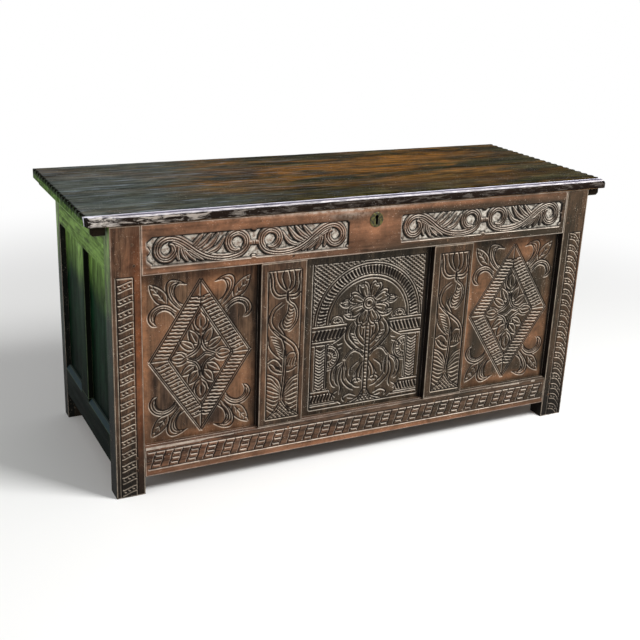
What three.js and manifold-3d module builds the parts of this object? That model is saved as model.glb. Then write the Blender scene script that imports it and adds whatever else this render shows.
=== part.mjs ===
// A joined oak coffer: four corner posts that run down as feet, rails and muntins tenoned between
// them, panels held loose in grooves, a boarded bottom, and a two-board lid on iron strap hinges.
// Millimetres. The origin is on the floor under the middle of the lid, +X runs along the chest to
// the right as it is seen from the front, +Y to the back, +Z up.

import * as THREE from 'three';
import { mergeVertices } from 'three/addons/utils/BufferGeometryUtils.js';
import Module from 'manifold-3d';

const wasm = await Module();
wasm.setup();

// Fits
const fit = 0.3; // left between pieces that touch
const overrun = 4; // how far a cutter passes the face that it opens
const arcSteps = 5;
const bendSteps = 3; // the least in a bent cut
const roundSteps = 16;

// Carcase, over the posts
const carcaseLength = 1300;
const carcaseDepth = 513;
const carcaseHeight = 656;
const postWidth = 69; // along the chest
const frontPostDepth = 48;
const rearPostDepth = 36;

// Joints that all frames share
const mortiseWidth = 8;
const tenonShoulder = 12;
const grooveWidth = 7;
const grooveDepth = 10;
const panelTongue = 8.5; // how far a panel enters its groove
const panelTongueFlat = 11;
const panelBevel = 32; // the feathered margin on the back of a panel
const panelThickness = 11;
const stubLength = 24; // of the muntins' tenons
const stubShoulder = 14;
const chamfer = 9; // along the rail under each panel

// Front frame
const frontThickness = 32;
const frontRecess = 18; // from the face of the frame to the face of the panels
const frontTenon = 38;
const frontTopHeight = 116;
const frontBottomHeight = 77;
const frontBottomLift = 45; // the rail's lower edge above the floor
const frontMuntinWidth = 117;
const frontSidePanelSight = 286;

// End frames
const endThickness = 28;
const endRecess = 14;
const endTenon = 24;
const endTopHeight = 109;
const endBottomHeight = 80;
const endBottomLift = 75;
const endMuntinWidth = 68;
const endFrontPanelSight = 194;

// Back frame
const backThickness = 28;
const backRecess = 14;
const backTenon = 38;
const backTopHeight = 109;
const backBottomHeight = 74;
const backMuntinWidth = 96;

// Bottom boards, laid from front to back
const boardCount = 5;
const boardThickness = 12;
const boardLift = 78;
const boardHousing = 9; // how far they enter the front rail
const boardGap = 0.8;

// Lid
const lidThickness = 24;
const lidEndOverhang = 50;
const lidFrontOverhang = 5;
const lidBackOverhang = 12;
const lidJoint = 245; // from the front edge to the joint between the boards
const thumbWidth = 29;
const thumbDrop = 11;
const quirkWidth = 4;
const quirkDepth = 2.5;
const lidArris = 2;
const nickPitch = 26;
const nickRadius = 9;
const nickDepth = 4.5;
const nickLean = THREE.MathUtils.degToRad(28);

// Cleats under the ends of the lid
const cleatWidth = 35;
const cleatHeight = 20;
const cleatGap = 5; // clear of the end of the carcase
const cleatFrontSetback = 13;
const cleatBackSetback = 15;
const cleatChamfer = 6;

// Strap hinges
const hingeSpread = 840;
const pinRadius = 3;
const pinHead = 1.2;
const ironThickness = 2.5;
const strapWidth = 40;
const strapEndWidth = 20;
const strapLength = 270;
const strapTip = 22;
const leafHeight = 92;
const knuckleShare = 0.36; // the strap's part of the hinge's width

// Lock, let into the back of the front top rail
const lockShift = 3; // the keyhole is a little to the right of the middle
const keyholeDrop = 33; // below the top of the rail
const lockPlateWidth = 124;
const lockPlateHeight = 78;
const lockPocketDepth = 19;
const boltHeight = 8;
const boltThickness = 5;
const boltLength = 74;
const boltDrop = 17;
const boltTravel = 14;
const boltNotchDepth = 3; // where the key's bit takes the bolt
const lugThickness = 4;
const lugMargin = 4;
const stapleThickness = 5;
const stapleDepth = 12;
const stapleLength = 26;
const stapleEye = 10;
const stapleShift = 28; // from the keyhole
const staplePlateLength = 44;
const staplePlateDepth = 26;
const slotPlay = 1.2;

// Escutcheon and keyhole
const escutcheonRadius = 18.5;
const escutcheonThickness = 1.6;
const escutcheonDish = 0.7;
const keyholeRound = 4.8;
const keyholeSlotWidth = 6;
const keyholeSlotLength = 19;

// Cuts that all the front's carving shares
const veeWidth = 4.6;
const veeDepth = 2.2;
const cutGap = 4; // left between a line and the cuts beside it
const frameInset = 15; // from the edge of a muntin or a panel to the line cut round it

// Two sunk grounds in the top rail, with scrolls left standing in them
const groundDepth = 4.2;
const groundLength = 497;
const groundHeight = 69;
const groundDrop = 27; // below the top of the rail
const groundFromLock = 72;
const scrollBand = 13.5;
const sprayWidth = 8;

// Strips of slanted cuts on the posts and the bottom rail
const postStripWidth = 38;
const postStripMiddle = 30; // from the outer edge of the post
const postStripRepeats = 18;
const railStripHeight = 44;
const railStripLift = 18; // above the lower edge of the rail
const railStripInset = 8;
const railStripRepeats = 26;

// Lozenges on the side panels, measured from their middle
const lozengeHalfWidth = 124.5;
const lozengeHalfHeight = 189.5;
const lozengeInnerHalfWidth = 78;
const lozengeInnerHalfHeight = 125.5;
const lozengeRepeats = 12;
const lozengeDrop = 4; // below the middle of the panel
const petalWidth = 19;

// Arch on the centre panel, with its flower
const archShift = 7.5;
const archSpring = 238; // above the sight's lower edge
const archRadius = 148;
const archInnerRadius = 116;
const archFlutes = 31;
const mouldStep = 9; // between the lines of an impost or a base
const stemHalf = 5;
const fieldHalfWidth = 157.5;
const impostHeight = 48;
const impostLength = 97;
const pillarInner = 113; // from the arch's middle
const pillarOuter = 148;
const pillarCuts = 8;
const baseHeight = 37;
const baseLift = 25;
const baseLength = 72;
const rosetteRadius = 33;
const rosetteLift = 149.5;
const flowerLift = 281;
const flowerHeart = 17;
const flowerReach = 59;
const flowerPetals = 8;

// Derived places
const topOfRail = carcaseHeight;
const lidUnderside = topOfRail + fit;
const lidFrontY = -lidFrontOverhang;
const lidDepth = lidFrontOverhang + carcaseDepth + lidBackOverhang;
const lidLength = carcaseLength + 2 * lidEndOverhang;
const lidBackY = lidFrontY + lidDepth;
const knuckleRadius = pinRadius + ironThickness;
const hingeAxisY = carcaseDepth + fit + knuckleRadius;
const hingeAxisZ = topOfRail - knuckleRadius;
const boardTop = boardLift + boardThickness;
const backBottomLift = boardTop + fit;
const escutcheonCentre = topOfRail - keyholeDrop;
const keyholeCentre = escutcheonCentre + (keyholeSlotLength - keyholeRound) / 2;

const oak = (color) => new THREE.MeshStandardMaterial({ color, roughness: 0.55, metalness: 0 });
const finishes = {
  carvedOak: oak(0x5a4034),
  panelOak: oak(0x5f4a3a),
  endOak: oak(0x3d5a35),
  lidOak: oak(0x3b3a34),
  plainOak: oak(0x5d4a38),
  iron: new THREE.MeshStandardMaterial({ color: 0x3a3633, roughness: 0.6, metalness: 0.8 }),
  brass: new THREE.MeshStandardMaterial({ color: 0x6f6340, roughness: 0.45, metalness: 0.9 }),
};

const alongX = new THREE.Vector3(1, 0, 0);
const alongY = new THREE.Vector3(0, 1, 0);
const alongZ = new THREE.Vector3(0, 0, 1);

// Solids

function solidFrom(geometry) {
  geometry.deleteAttribute('normal');
  geometry.deleteAttribute('uv');
  const merged = mergeVertices(geometry);
  return new wasm.Manifold(new wasm.Mesh({
    numProp: 3,
    vertProperties: merged.attributes.position.array,
    triVerts: Uint32Array.from(merged.index.array),
  }));
}

function geometryFrom(solid) {
  const mesh = solid.getMesh();
  const indexed = new THREE.BufferGeometry();
  indexed.setAttribute('position', new THREE.BufferAttribute(mesh.vertProperties, mesh.numProp));
  indexed.setIndex(new THREE.BufferAttribute(mesh.triVerts, 1));
  const geometry = indexed.toNonIndexed();
  geometry.computeVertexNormals();
  return geometry;
}

function block([x0, x1], [y0, y1], [z0, z1]) {
  const geometry = new THREE.BoxGeometry(Math.abs(x1 - x0), Math.abs(y1 - y0), Math.abs(z1 - z0));
  geometry.translate((x0 + x1) / 2, (y0 + y1) / 2, (z0 + z1) / 2);
  return solidFrom(geometry);
}

function outline(points) {
  return new THREE.Shape(points.map(([a, b]) => new THREE.Vector2(a, b)));
}

// A shape's two coordinates are YZ along 'x', XZ along 'y' and XY along 'z'.
function prism(axis, shape, [low, high]) {
  const geometry = new THREE.ExtrudeGeometry(shape, {
    depth: high - low,
    bevelEnabled: false,
    curveSegments: arcSteps,
  });
  const place = new THREE.Matrix4();
  if (axis === 'x') place.makeBasis(alongY, alongZ, alongX).setPosition(low, 0, 0);
  if (axis === 'y') place.makeBasis(alongX, alongZ, alongY.clone().negate()).setPosition(0, high, 0);
  if (axis === 'z') place.setPosition(0, 0, low);
  geometry.applyMatrix4(place);
  return solidFrom(geometry);
}

function without(body, cutters) {
  return cutters.reduce((left, cutter) => left.subtract(cutter), body);
}

function joined(solids) {
  return solids.reduce((whole, solid) => whole.add(solid));
}

function piece(name, solid, material, position = [0, 0, 0]) {
  const mesh = new THREE.Mesh(geometryFrom(solid), material);
  mesh.name = name;
  mesh.position.set(...position);
  return mesh;
}

// Frames. A frame stands with its outer face at Y 0, its middle at X 0 and the floor at Z 0.

function frameSide(side) {
  const { muntins, width } = side;
  const edges = [-width / 2, ...muntins.flatMap((m) => [m.at - m.width / 2, m.at + m.width / 2]), width / 2];
  const sights = [];
  for (let i = 0; i < edges.length; i += 2) sights.push([edges[i], edges[i + 1]]);
  const sightLow = side.bottomLift + side.bottomHeight;
  const sightHigh = topOfRail - side.topHeight;
  return { ...side, sights, sightLow, sightHigh };
}

function rail(side, height, panelEdge, cutters = []) {
  const { width, thickness, recess, tenon, muntins, sights } = side;
  const onTop = panelEdge === 'top';
  const fromEdge = (depth) => (onTop ? [height - depth, height + overrun] : [-overrun, depth]);
  const body = block([-width / 2 + fit, width / 2 - fit], [0, thickness], [0, height]);
  const tenons = block(
    [-width / 2 - tenon, width / 2 + tenon],
    [recess + fit, recess + mortiseWidth - fit],
    [tenonShoulder, height - tenonShoulder],
  );
  const groove = block([-width / 2, width / 2], [recess, recess + grooveWidth], fromEdge(grooveDepth));
  const mortises = muntins.map(({ at, width: wide }) => {
    const reach = wide / 2 - stubShoulder + fit;
    return block([at - reach, at + reach], [recess, recess + mortiseWidth], fromEdge(stubLength + fit));
  });
  const slope = outline([
    [-overrun, height - chamfer - overrun],
    [chamfer + overrun, height + overrun],
    [-overrun, height + overrun],
  ]);
  const chamfers = onTop && side.chamfered ? sights.map((sight) => prism('x', slope, sight)) : [];
  return without(body.add(tenons), [groove, ...mortises, ...chamfers, ...cutters]);
}

function muntin(side, width) {
  const { thickness, recess } = side;
  const height = side.sightHigh - side.sightLow;
  const body = block([-width / 2, width / 2], [0, thickness], [fit, height - fit]);
  const stub = block(
    [-width / 2 + stubShoulder, width / 2 - stubShoulder],
    [recess + fit, recess + mortiseWidth - fit],
    [-stubLength, height + stubLength],
  );
  const grooves = [-1, 1].map((hand) => block(
    [hand * (width / 2 - grooveDepth), hand * (width / 2 + overrun)],
    [recess, recess + grooveWidth],
    [-overrun, height + overrun],
  ));
  return without(body, grooves).add(stub);
}

// The half of a panel's section runs from its tongue, flat in the groove, up a long bevel to the
// full thickness. The whole panel is where the section across and the section upwards meet.
function panel(side, [left, right]) {
  const tongue = grooveWidth - fit - fit;
  const section = (low, high) => [
    [low, 0],
    [high, 0],
    [high, tongue],
    [high - panelTongueFlat, tongue],
    [high - panelTongueFlat - panelBevel, panelThickness],
    [low + panelTongueFlat + panelBevel, panelThickness],
    [low + panelTongueFlat, tongue],
    [low, tongue],
  ];
  const across = [left - panelTongue, right + panelTongue];
  const upwards = [side.sightLow - panelTongue, side.sightHigh + panelTongue];
  const front = side.recess + fit;
  const acrossShape = outline(section(...across).map(([x, y]) => [x, y + front]));
  const upShape = outline(section(...upwards).map(([z, y]) => [y + front, z]));
  return prism('z', acrossShape, upwards).intersect(prism('x', upShape, across));
}

function addFrame(side, names, finish, cutters = {}) {
  const group = new THREE.Group();
  const { muntins, sights, bottomLift } = side;
  const top = rail(side, side.topHeight, 'bottom', cutters.top);
  const bottom = rail(side, side.bottomHeight, 'top', cutters.bottom);
  group.add(piece(names.topRail, top, finish.frame, [0, 0, topOfRail - side.topHeight]));
  group.add(piece(names.bottomRail, bottom, finish.frame, [0, 0, bottomLift]));
  muntins.forEach(({ at, width }, i) => {
    const upright = without(muntin(side, width), cutters.muntin ?? []);
    group.add(piece(names.muntins[i], upright, finish.frame, [at, 0, side.sightLow]));
  });
  sights.forEach((sight, i) => {
    group.add(piece(names.panels[i], without(panel(side, sight), cutters.panels?.[i] ?? []), finish.panel));
  });
  return group;
}

const longWidth = carcaseLength - 2 * postWidth;
const frontMuntinAt = longWidth / 2 - frontSidePanelSight - frontMuntinWidth / 2;
const front = frameSide({
  width: longWidth,
  thickness: frontThickness,
  recess: frontRecess,
  tenon: frontTenon,
  topHeight: frontTopHeight,
  bottomHeight: frontBottomHeight,
  bottomLift: frontBottomLift,
  chamfered: true,
  muntins: [-1, 1].map((hand) => ({ at: hand * frontMuntinAt, width: frontMuntinWidth })),
});
const back = frameSide({
  width: longWidth,
  thickness: backThickness,
  recess: backRecess,
  tenon: backTenon,
  topHeight: backTopHeight,
  bottomHeight: backBottomHeight,
  bottomLift: backBottomLift,
  chamfered: false,
  muntins: [-1, 1].map((hand) => ({ at: hand * frontMuntinAt, width: backMuntinWidth })),
});
const endWidth = carcaseDepth - frontPostDepth - rearPostDepth;
const endMuntinBack = endFrontPanelSight + endMuntinWidth / 2 - endWidth / 2;
// An end frame's muntin stands nearer the back, so its place turns round with the frame.
const endSide = (hand) => frameSide({
  width: endWidth,
  thickness: endThickness,
  recess: endRecess,
  tenon: endTenon,
  topHeight: endTopHeight,
  bottomHeight: endBottomHeight,
  bottomLift: endBottomLift,
  chamfered: true,
  muntins: [{ at: -hand * endMuntinBack, width: endMuntinWidth }],
});

// Posts. A post is cut from its outer corner inwards, and the signs say which way inwards is.

function post(signX, signY, depth, long) {
  const inX = (a, b) => [signX * a, signX * b];
  const inY = (a, b) => [signY * a, signY * b];
  const end = endSide(signX);
  const railSpans = (side) => [
    [side.bottomLift, side.bottomLift + side.bottomHeight],
    [topOfRail - side.topHeight, topOfRail],
  ];
  const grooveSpan = (side) => [side.sightLow - grooveDepth, side.sightHigh + grooveDepth];
  const mortise = ([low, high]) => [low + tenonShoulder - fit, high - tenonShoulder + fit];
  const cutters = [
    block(
      inX(postWidth - grooveDepth, postWidth + overrun),
      inY(long.recess, long.recess + grooveWidth),
      grooveSpan(long),
    ),
    block(
      inX(end.recess, end.recess + grooveWidth),
      inY(depth - grooveDepth, depth + overrun),
      grooveSpan(end),
    ),
    ...railSpans(long).map((span) => block(
      inX(postWidth - long.tenon - fit, postWidth + overrun),
      inY(long.recess, long.recess + mortiseWidth),
      mortise(span),
    )),
    ...railSpans(end).map((span) => block(
      inX(end.recess, end.recess + mortiseWidth),
      inY(depth - end.tenon - fit, depth + overrun),
      mortise(span),
    )),
  ];
  return without(block(inX(0, postWidth), inY(0, depth), [0, carcaseHeight]), cutters);
}

// Keyhole: a round with a slot that runs down from it, cut through along Y.

function keyholeCutter(centreZ, [y0, y1]) {
  const round = new THREE.Shape();
  round.absarc(lockShift, centreZ, keyholeRound, 0, 2 * Math.PI);
  const slotHalf = keyholeSlotWidth / 2;
  const slotSpan = [centreZ - keyholeSlotLength, centreZ];
  const slot = block([lockShift - slotHalf, lockShift + slotHalf], [y0, y1], slotSpan);
  return prism('y', round, [y0, y1]).add(slot);
}

function frontTopCutters() {
  const railFoot = topOfRail - frontTopHeight;
  const pocket = block(
    [lockShift - lockPlateWidth / 2 - fit, lockShift + lockPlateWidth / 2 + fit],
    [frontThickness - lockPocketDepth - fit, frontThickness + overrun],
    [frontTopHeight - lockPlateHeight - fit, frontTopHeight + overrun],
  );
  return [pocket, keyholeCutter(keyholeCentre - railFoot, [-overrun, frontThickness])];
}

function frontBottomCutters() {
  return [block(
    [-longWidth / 2 - overrun, longWidth / 2 + overrun],
    [frontThickness - boardHousing - fit, frontThickness + overrun],
    [boardLift - fit - frontBottomLift, boardTop + fit - frontBottomLift],
  )];
}

function backTopCutters() {
  return [-1, 1].map((hand) => block(
    [hand * hingeSpread / 2 - strapWidth / 2 - fit, hand * hingeSpread / 2 + strapWidth / 2 + fit],
    [-overrun, backThickness + overrun],
    [backTopHeight - ironThickness - fit, backTopHeight + overrun],
  ));
}

// Carving. Marks lie on a face, in X and Z, and the tools cut inwards from it along Y.

const strokeLeanShare = 0.18; // how far a slanted cut leans, of the pitch
const bellyShare = 0.5; // where a leaf is widest

function alongMarks(marks, section, faceY = 0) {
  const points = marks.map(([x, z]) => new THREE.Vector3(x, z, 0));
  const bent = points.length > 2;
  const geometry = new THREE.ExtrudeGeometry(outline(section), {
    extrudePath: bent ? new THREE.CatmullRomCurve3(points) : new THREE.LineCurve3(...points),
    steps: bent ? Math.max(points.length - 1, bendSteps) : 1,
    bevelEnabled: false,
  });
  const place = new THREE.Matrix4().makeBasis(alongX, alongZ, alongY.clone().negate());
  geometry.applyMatrix4(place.setPosition(0, faceY, 0));
  return solidFrom(geometry);
}

const veeSection = [[veeDepth, 0], [-veeDepth, -veeWidth], [-veeDepth, veeWidth]];
const veeCut = (marks, faceY) => alongMarks(marks, veeSection, faceY);
const barSection = (width) => [
  [-overrun - overrun, -width / 2],
  [groundDepth + overrun, -width / 2],
  [groundDepth + overrun, width / 2],
  [-overrun - overrun, width / 2],
];

// Marks given as shares of a width and a height, from an origin, and turned over where a sign says.
function scaled(shares, [width, height], [x, z] = [0, 0], [signX, signZ] = [1, 1]) {
  return shares.map(([a, b]) => [x + signX * a * width, z + signZ * b * height]);
}

function linesRound([left, right], [low, high], faceY) {
  const corners = [[left, low], [right, low], [right, high], [left, high]];
  return corners.map((corner, i) => veeCut([corner, corners[(i + 1) % corners.length]], faceY));
}

// Slanted cuts across a strip that runs between two marks.
function slantedCuts([x0, z0], [x1, z1], width, repeats, faceY) {
  const run = new THREE.Vector2(x1 - x0, z1 - z0);
  const across = new THREE.Vector2(-run.y, run.x).setLength(width / 2);
  const lean = run.clone().multiplyScalar(strokeLeanShare / repeats);
  return Array.from({ length: repeats }, (_, k) => {
    const middle = run.clone().multiplyScalar((k + 1 / 2) / repeats).add(new THREE.Vector2(x0, z0));
    const start = middle.clone().sub(across).sub(lean);
    const end = middle.clone().add(across).add(lean);
    return veeCut([start.toArray(), end.toArray()], faceY);
  });
}

// A pointed leaf: two bowed cuts that meet at its base and its tip.
function leafCuts([x0, z0], [x1, z1], width, faceY) {
  const spine = new THREE.Vector2(x1 - x0, z1 - z0);
  const side = new THREE.Vector2(-spine.y, spine.x).setLength(width / 2);
  return [-1, 1].map((hand) => {
    const belly = [x0 + spine.x * bellyShare + hand * side.x, z0 + spine.y * bellyShare + hand * side.y];
    return veeCut([[x0, z0], belly, [x1, z1]], faceY);
  });
}

function arcMarks([x, z], radius, [from, to], count) {
  return Array.from({ length: count + 1 }, (_, i) => {
    const turn = Math.PI * (from + (to - from) * i / count);
    return [x + radius * Math.cos(turn), z + radius * Math.sin(turn)];
  });
}

// Scrolls. A scroll's marks are shares of its reach, from its eye to the middle of the ground, and
// of the ground's height. The second scroll of a ground is the first turned over.
const eyeShare = 0.0875; // of the ground's length, from its end
const bandShares = [
  [0.06, -0.19], [0.01, -0.3], [-0.06, -0.28], [-0.11, -0.09], [-0.11, 0.13], [-0.05, 0.32],
  [0.03, 0.39], [0.13, 0.32], [0.24, 0.12], [0.34, -0.13], [0.46, -0.32], [0.59, -0.41],
  [0.73, -0.41], [0.85, -0.29], [0.92, -0.04], [0.9, 0.23], [0.82, 0.39], [0.73, 0.3],
  [0.69, 0.09], [0.72, -0.1],
];
const sprayShares = [
  [[0.12, 0.12], [0.11, -0.12], [0.13, -0.42]],
  [[0.16, 0.04], [0.18, -0.2], [0.24, -0.47]],
  [[0.2, -0.04], [0.26, -0.23], [0.32, -0.45]],
  [[0.28, 0.03], [0.34, 0.2], [0.4, 0.45]],
  [[0.33, -0.03], [0.42, 0.14], [0.5, 0.45]],
  [[0.39, -0.13], [0.49, 0.06], [0.59, 0.44]],
  [[0.46, -0.23], [0.57, -0.09], [0.66, 0.29]],
];

function scrollBars(eye, reach, sign) {
  const placed = (shares) => scaled(shares, [reach, groundHeight], eye, [sign, 1]);
  const band = alongMarks(placed(bandShares), barSection(scrollBand));
  return [band, ...sprayShares.map((shares) => alongMarks(placed(shares), barSection(sprayWidth)))];
}

function scrollGrounds() {
  const middleZ = frontTopHeight - groundDrop - groundHeight / 2;
  const reach = groundLength * (1 / 2 - eyeShare);
  return [-1, 1].map((side) => {
    const middleX = lockShift + side * (groundFromLock + groundLength / 2);
    const ground = block(
      [middleX - groundLength / 2, middleX + groundLength / 2],
      [-overrun, groundDepth],
      [middleZ - groundHeight / 2, middleZ + groundHeight / 2],
    );
    const tie = block(
      [middleX - scrollBand, middleX + scrollBand],
      [-overrun - overrun, groundDepth + overrun],
      [middleZ - sprayWidth / 2, middleZ + sprayWidth / 2],
    );
    const bars = [1, -1].flatMap((sign) => scrollBars([middleX - sign * reach, middleZ], reach, sign));
    return without(ground, [tie, ...bars]);
  });
}

function railStrip() {
  const half = longWidth / 2 - railStripInset;
  const [low, high] = [railStripLift, railStripLift + railStripHeight];
  const lines = [low, high].map((z) => veeCut([[-half, z], [half, z]]));
  const middle = (low + high) / 2;
  const width = railStripHeight - 2 * veeWidth;
  return [...lines, ...slantedCuts([-half, middle], [half, middle], width, railStripRepeats)];
}

function postStrip(signX) {
  const top = front.sightHigh;
  const edges = [-1, 1].map((hand) => signX * (postStripMiddle + hand * postStripWidth / 2));
  const lines = edges.map((x) => veeCut([[x, -overrun], [x, top]]));
  const width = postStripWidth - 2 * veeWidth;
  const x = signX * postStripMiddle;
  return [...lines, veeCut([[edges[0], top], [edges[1], top]]),
    ...slantedCuts([x, 0], [x, top], width, postStripRepeats)];
}

// A tulip on a winding stem. Its marks are shares of half the width and the whole height of the
// line that is cut round it, from the middle of its foot.
const tulipShares = [
  [[0.12, 0.83], [-0.44, 0.83], [-0.86, 0.94], [-0.9, 1]],
  [[0.14, 0.87], [-0.3, 0.89], [-0.5, 1]],
  [[0.16, 0.87], [0.35, 0.92], [0.2, 1]],
  [[0.2, 0.83], [0.75, 0.85], [0.95, 1]],
  [[0.23, 0.82], [0.8, 0.71], [0.7, 0.62], [0.2, 0.6]],
  [[-0.05, 0.79], [-0.75, 0.72], [-0.7, 0.62], [0.2, 0.54], [0.85, 0.45], [0.93, 0.37]],
  [[-0.9, 0.63], [-0.4, 0.58], [0.1, 0.48], [0.1, 0.3], [-0.05, 0.14]],
  [[-0.93, 0.58], [-0.6, 0.46], [-0.15, 0.41]],
  [[-1, 0.39], [-0.3, 0.4], [-0.05, 0.36]],
  [[-1, 0.32], [-0.4, 0.29], [-0.08, 0.21]],
  [[1, 0.29], [0.4, 0.25], [0.05, 0.16]],
  [[0.14, 0.41], [0.4, 0.45], [0.85, 0.44]],
  [[-1, 0], [-0.5, 0.06], [-0.07, 0.13], [0.4, 0.06], [1, 0]],
];

function tulip() {
  const halfWidth = frontMuntinWidth / 2 - frameInset;
  const height = front.sightHigh - front.sightLow - 2 * frameInset;
  const marks = tulipShares.map((shares) => scaled(shares, [halfWidth, height], [0, frameInset]));
  const frame = linesRound([-halfWidth, halfWidth], [frameInset, frameInset + height]);
  return [...frame, ...marks.map((line) => veeCut(line))];
}

// A lozenge: double lines, a strip of slanted cuts between them, a flower inside it and a spray in
// each corner of the panel. The flower is in shares of the inner lozenge, the sprays of the outer.
const petalShares = [
  [[0.12, 0.2], [0.34, 0.56]],
  [[0.3, 0.14], [0.62, 0.33]],
  [[0.3, 0], [0.9, 0]],
  [[0.3, -0.14], [0.62, -0.3]],
  [[0.12, -0.2], [0.36, -0.54]],
];
const stripEndShare = 0.08;
const budShares = [[0.05, 0.62], [0.17, 0.71], [0.05, 0.82]];
const cornerLeafShares = [[0.68, 0.75], [0.98, 0.99]];
const cornerShares = [
  [[0.46, 0.67], [0.6, 0.78], [0.64, 0.95], [0.45, 1.01], [0.27, 0.96]],
  [[0.6, 0.6], [0.82, 0.68], [1, 0.6], [0.97, 0.46], [0.85, 0.44]],
];

function rhombus([x, z], halfWidth, halfHeight, faceY) {
  const tips = [[halfWidth, 0], [0, halfHeight], [-halfWidth, 0], [0, -halfHeight]];
  const placed = tips.map(([a, b]) => [x + a, z + b]);
  return placed.map((tip, i) => veeCut([tip, placed[(i + 1) % placed.length]], faceY));
}

function lozenge([left, right]) {
  const faceY = frontRecess + fit;
  const centre = [(left + right) / 2, (front.sightLow + front.sightHigh) / 2 - lozengeDrop];
  const outer = [lozengeHalfWidth, lozengeHalfHeight];
  const inner = [lozengeInnerHalfWidth, lozengeInnerHalfHeight];
  const slopeShare = lozengeHalfHeight / lozengeHalfWidth;
  const lines = [outer, inner].flatMap(([width, height]) => rhombus(centre, width, height, faceY));
  const middles = outer.map((size, i) => (size + inner[i]) / 2);
  const strip = (outer[0] - inner[0]) * slopeShare / Math.hypot(1, slopeShare) - veeWidth - 2 * cutGap;
  const tips = [[middles[0], 0], [0, middles[1]], [-middles[0], 0], [0, -middles[1]]]
    .map(([x, z]) => [centre[0] + x, centre[1] + z]);
  const cuts = tips.flatMap((tip, i) => {
    const next = tips[(i + 1) % tips.length];
    const ends = [stripEndShare, 1 - stripEndShare].map((share) => (
      tip.map((from, axis) => from + (next[axis] - from) * share)
    ));
    return slantedCuts(...ends, strip, lozengeRepeats, faceY);
  });
  const sprays = [[1, 1], [-1, 1], [1, -1], [-1, -1]].flatMap((signs) => [
    ...leafCuts(...scaled(cornerLeafShares, outer, centre, signs), petalWidth, faceY),
    ...cornerShares.map((shares) => veeCut(scaled(shares, outer, centre, signs), faceY)),
    veeCut(scaled(budShares, inner, centre, signs), faceY),
  ]);
  const petals = [1, -1].flatMap((sign) => petalShares.flatMap((shares) => (
    leafCuts(...scaled(shares, inner, centre, [sign, 1]), petalWidth, faceY)
  )));
  return [...lines, ...cuts, ...sprays, ...petals];
}

// An arch with fluted edge, imposts, pillars and bases, half a rosette at each side and a flower on
// a stem. The stem's leaves are in shares of the arch's inner radius and of the spring's height.
const stemShares = [
  [[0.1, 0.64], [0.3, 0.7], [0.45, 0.82], [0.42, 0.91], [0.3, 0.95]],
  [[0.1, 0.58], [0.3, 0.64], [0.52, 0.54], [0.54, 0.35], [0.28, 0.22]],
  [[0.6, 0.54], [0.8, 0.47], [0.82, 0.36], [0.72, 0.28]],
  [[0.1, 0.5], [0.24, 0.38], [0.18, 0.3]],
  [[0.1, 0.19], [0.2, 0.14], [0.44, 0.11]],
];
const arcCount = 14;

function archAndFlower() {
  const faceY = frontRecess + fit;
  const cut = (marks) => veeCut(marks, faceY);
  const foot = front.sightLow;
  const spring = foot + archSpring;
  const centre = [archShift, spring];
  const edge = (hand, fromMiddle) => archShift + hand * fromMiddle;
  const halfTurn = [0, 1];
  const arcs = [archRadius, archInnerRadius].map((radius) => (
    cut(arcMarks(centre, radius, halfTurn, arcCount))
  ));
  const flutes = Array.from({ length: archFlutes }, (_, k) => {
    const turn = Math.PI * (k + 1 / 2) / archFlutes;
    const inside = archInnerRadius + cutGap + veeWidth / 2;
    const outside = archRadius - cutGap - veeWidth / 2;
    return cut([inside, outside].map((r) => [archShift + r * Math.cos(turn), spring + r * Math.sin(turn)]));
  });
  const fieldSpan = [edge(-1, fieldHalfWidth), edge(1, fieldHalfWidth)];
  const frame = linesRound(fieldSpan, [foot + frameInset, front.sightHigh - frameInset], faceY);
  const leafField = [archInnerRadius, archSpring];
  const stemTop = foot + flowerLift - flowerReach - cutGap;
  const sides = [-1, 1].flatMap((hand) => {
    const from = edge(hand, fieldHalfWidth);
    const level = (z, length) => cut([[from, z], [from - hand * length, z]]);
    const capTop = spring - cutGap;
    const capFoot = spring - impostHeight;
    const baseTop = foot + baseLift + baseHeight;
    const pillarLength = fieldHalfWidth - pillarInner + mouldStep;
    const rosette = [edge(hand, pillarInner), foot + rosetteLift];
    const rosetteTurn = hand > 0 ? [1 / 2, 3 / 2] : [-1 / 2, 1 / 2];
    return [
      level(capTop, impostLength),
      level(capTop - mouldStep, impostLength),
      level(capFoot + mouldStep, impostLength - mouldStep),
      level(capFoot, pillarLength),
      level(baseTop, pillarLength),
      level(baseTop - mouldStep, pillarLength),
      level(foot + baseLift, baseLength),
      ...[pillarInner, pillarOuter].map((x) => (
        cut([[edge(hand, x), capFoot - cutGap], [edge(hand, x), baseTop + cutGap]])
      )),
      ...slantedCuts(
        [edge(hand, (pillarInner + pillarOuter) / 2), baseTop],
        [edge(hand, (pillarInner + pillarOuter) / 2), capFoot],
        pillarOuter - pillarInner - veeWidth - 2 * cutGap,
        pillarCuts,
        faceY,
      ),
      cut(arcMarks(rosette, rosetteRadius, rosetteTurn, arcCount / 2)),
      ...stemShares.map((shares) => cut(scaled(shares, leafField, [archShift, foot], [hand, 1]))),
      cut([[edge(hand, stemHalf), stemTop], [edge(hand, stemHalf), foot + baseLift]]),
    ];
  });
  const heart = [archShift, foot + flowerLift];
  const petals = Array.from({ length: flowerPetals }, (_, k) => {
    const turn = 2 * Math.PI * (k + 1 / 2) / flowerPetals;
    const along = (r) => [heart[0] + r * Math.cos(turn), heart[1] + r * Math.sin(turn)];
    return leafCuts(along(flowerHeart + cutGap), along(flowerReach), petalWidth, faceY);
  });
  const ring = [-1, 1].map((hand) => cut(arcMarks(heart, flowerHeart, [0, hand], arcCount / 2)));
  return [...arcs, ...flutes, ...frame, ...sides, ...ring, ...petals.flat()];
}

// Bottom boards. The outermost two are notched round the posts.

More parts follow.
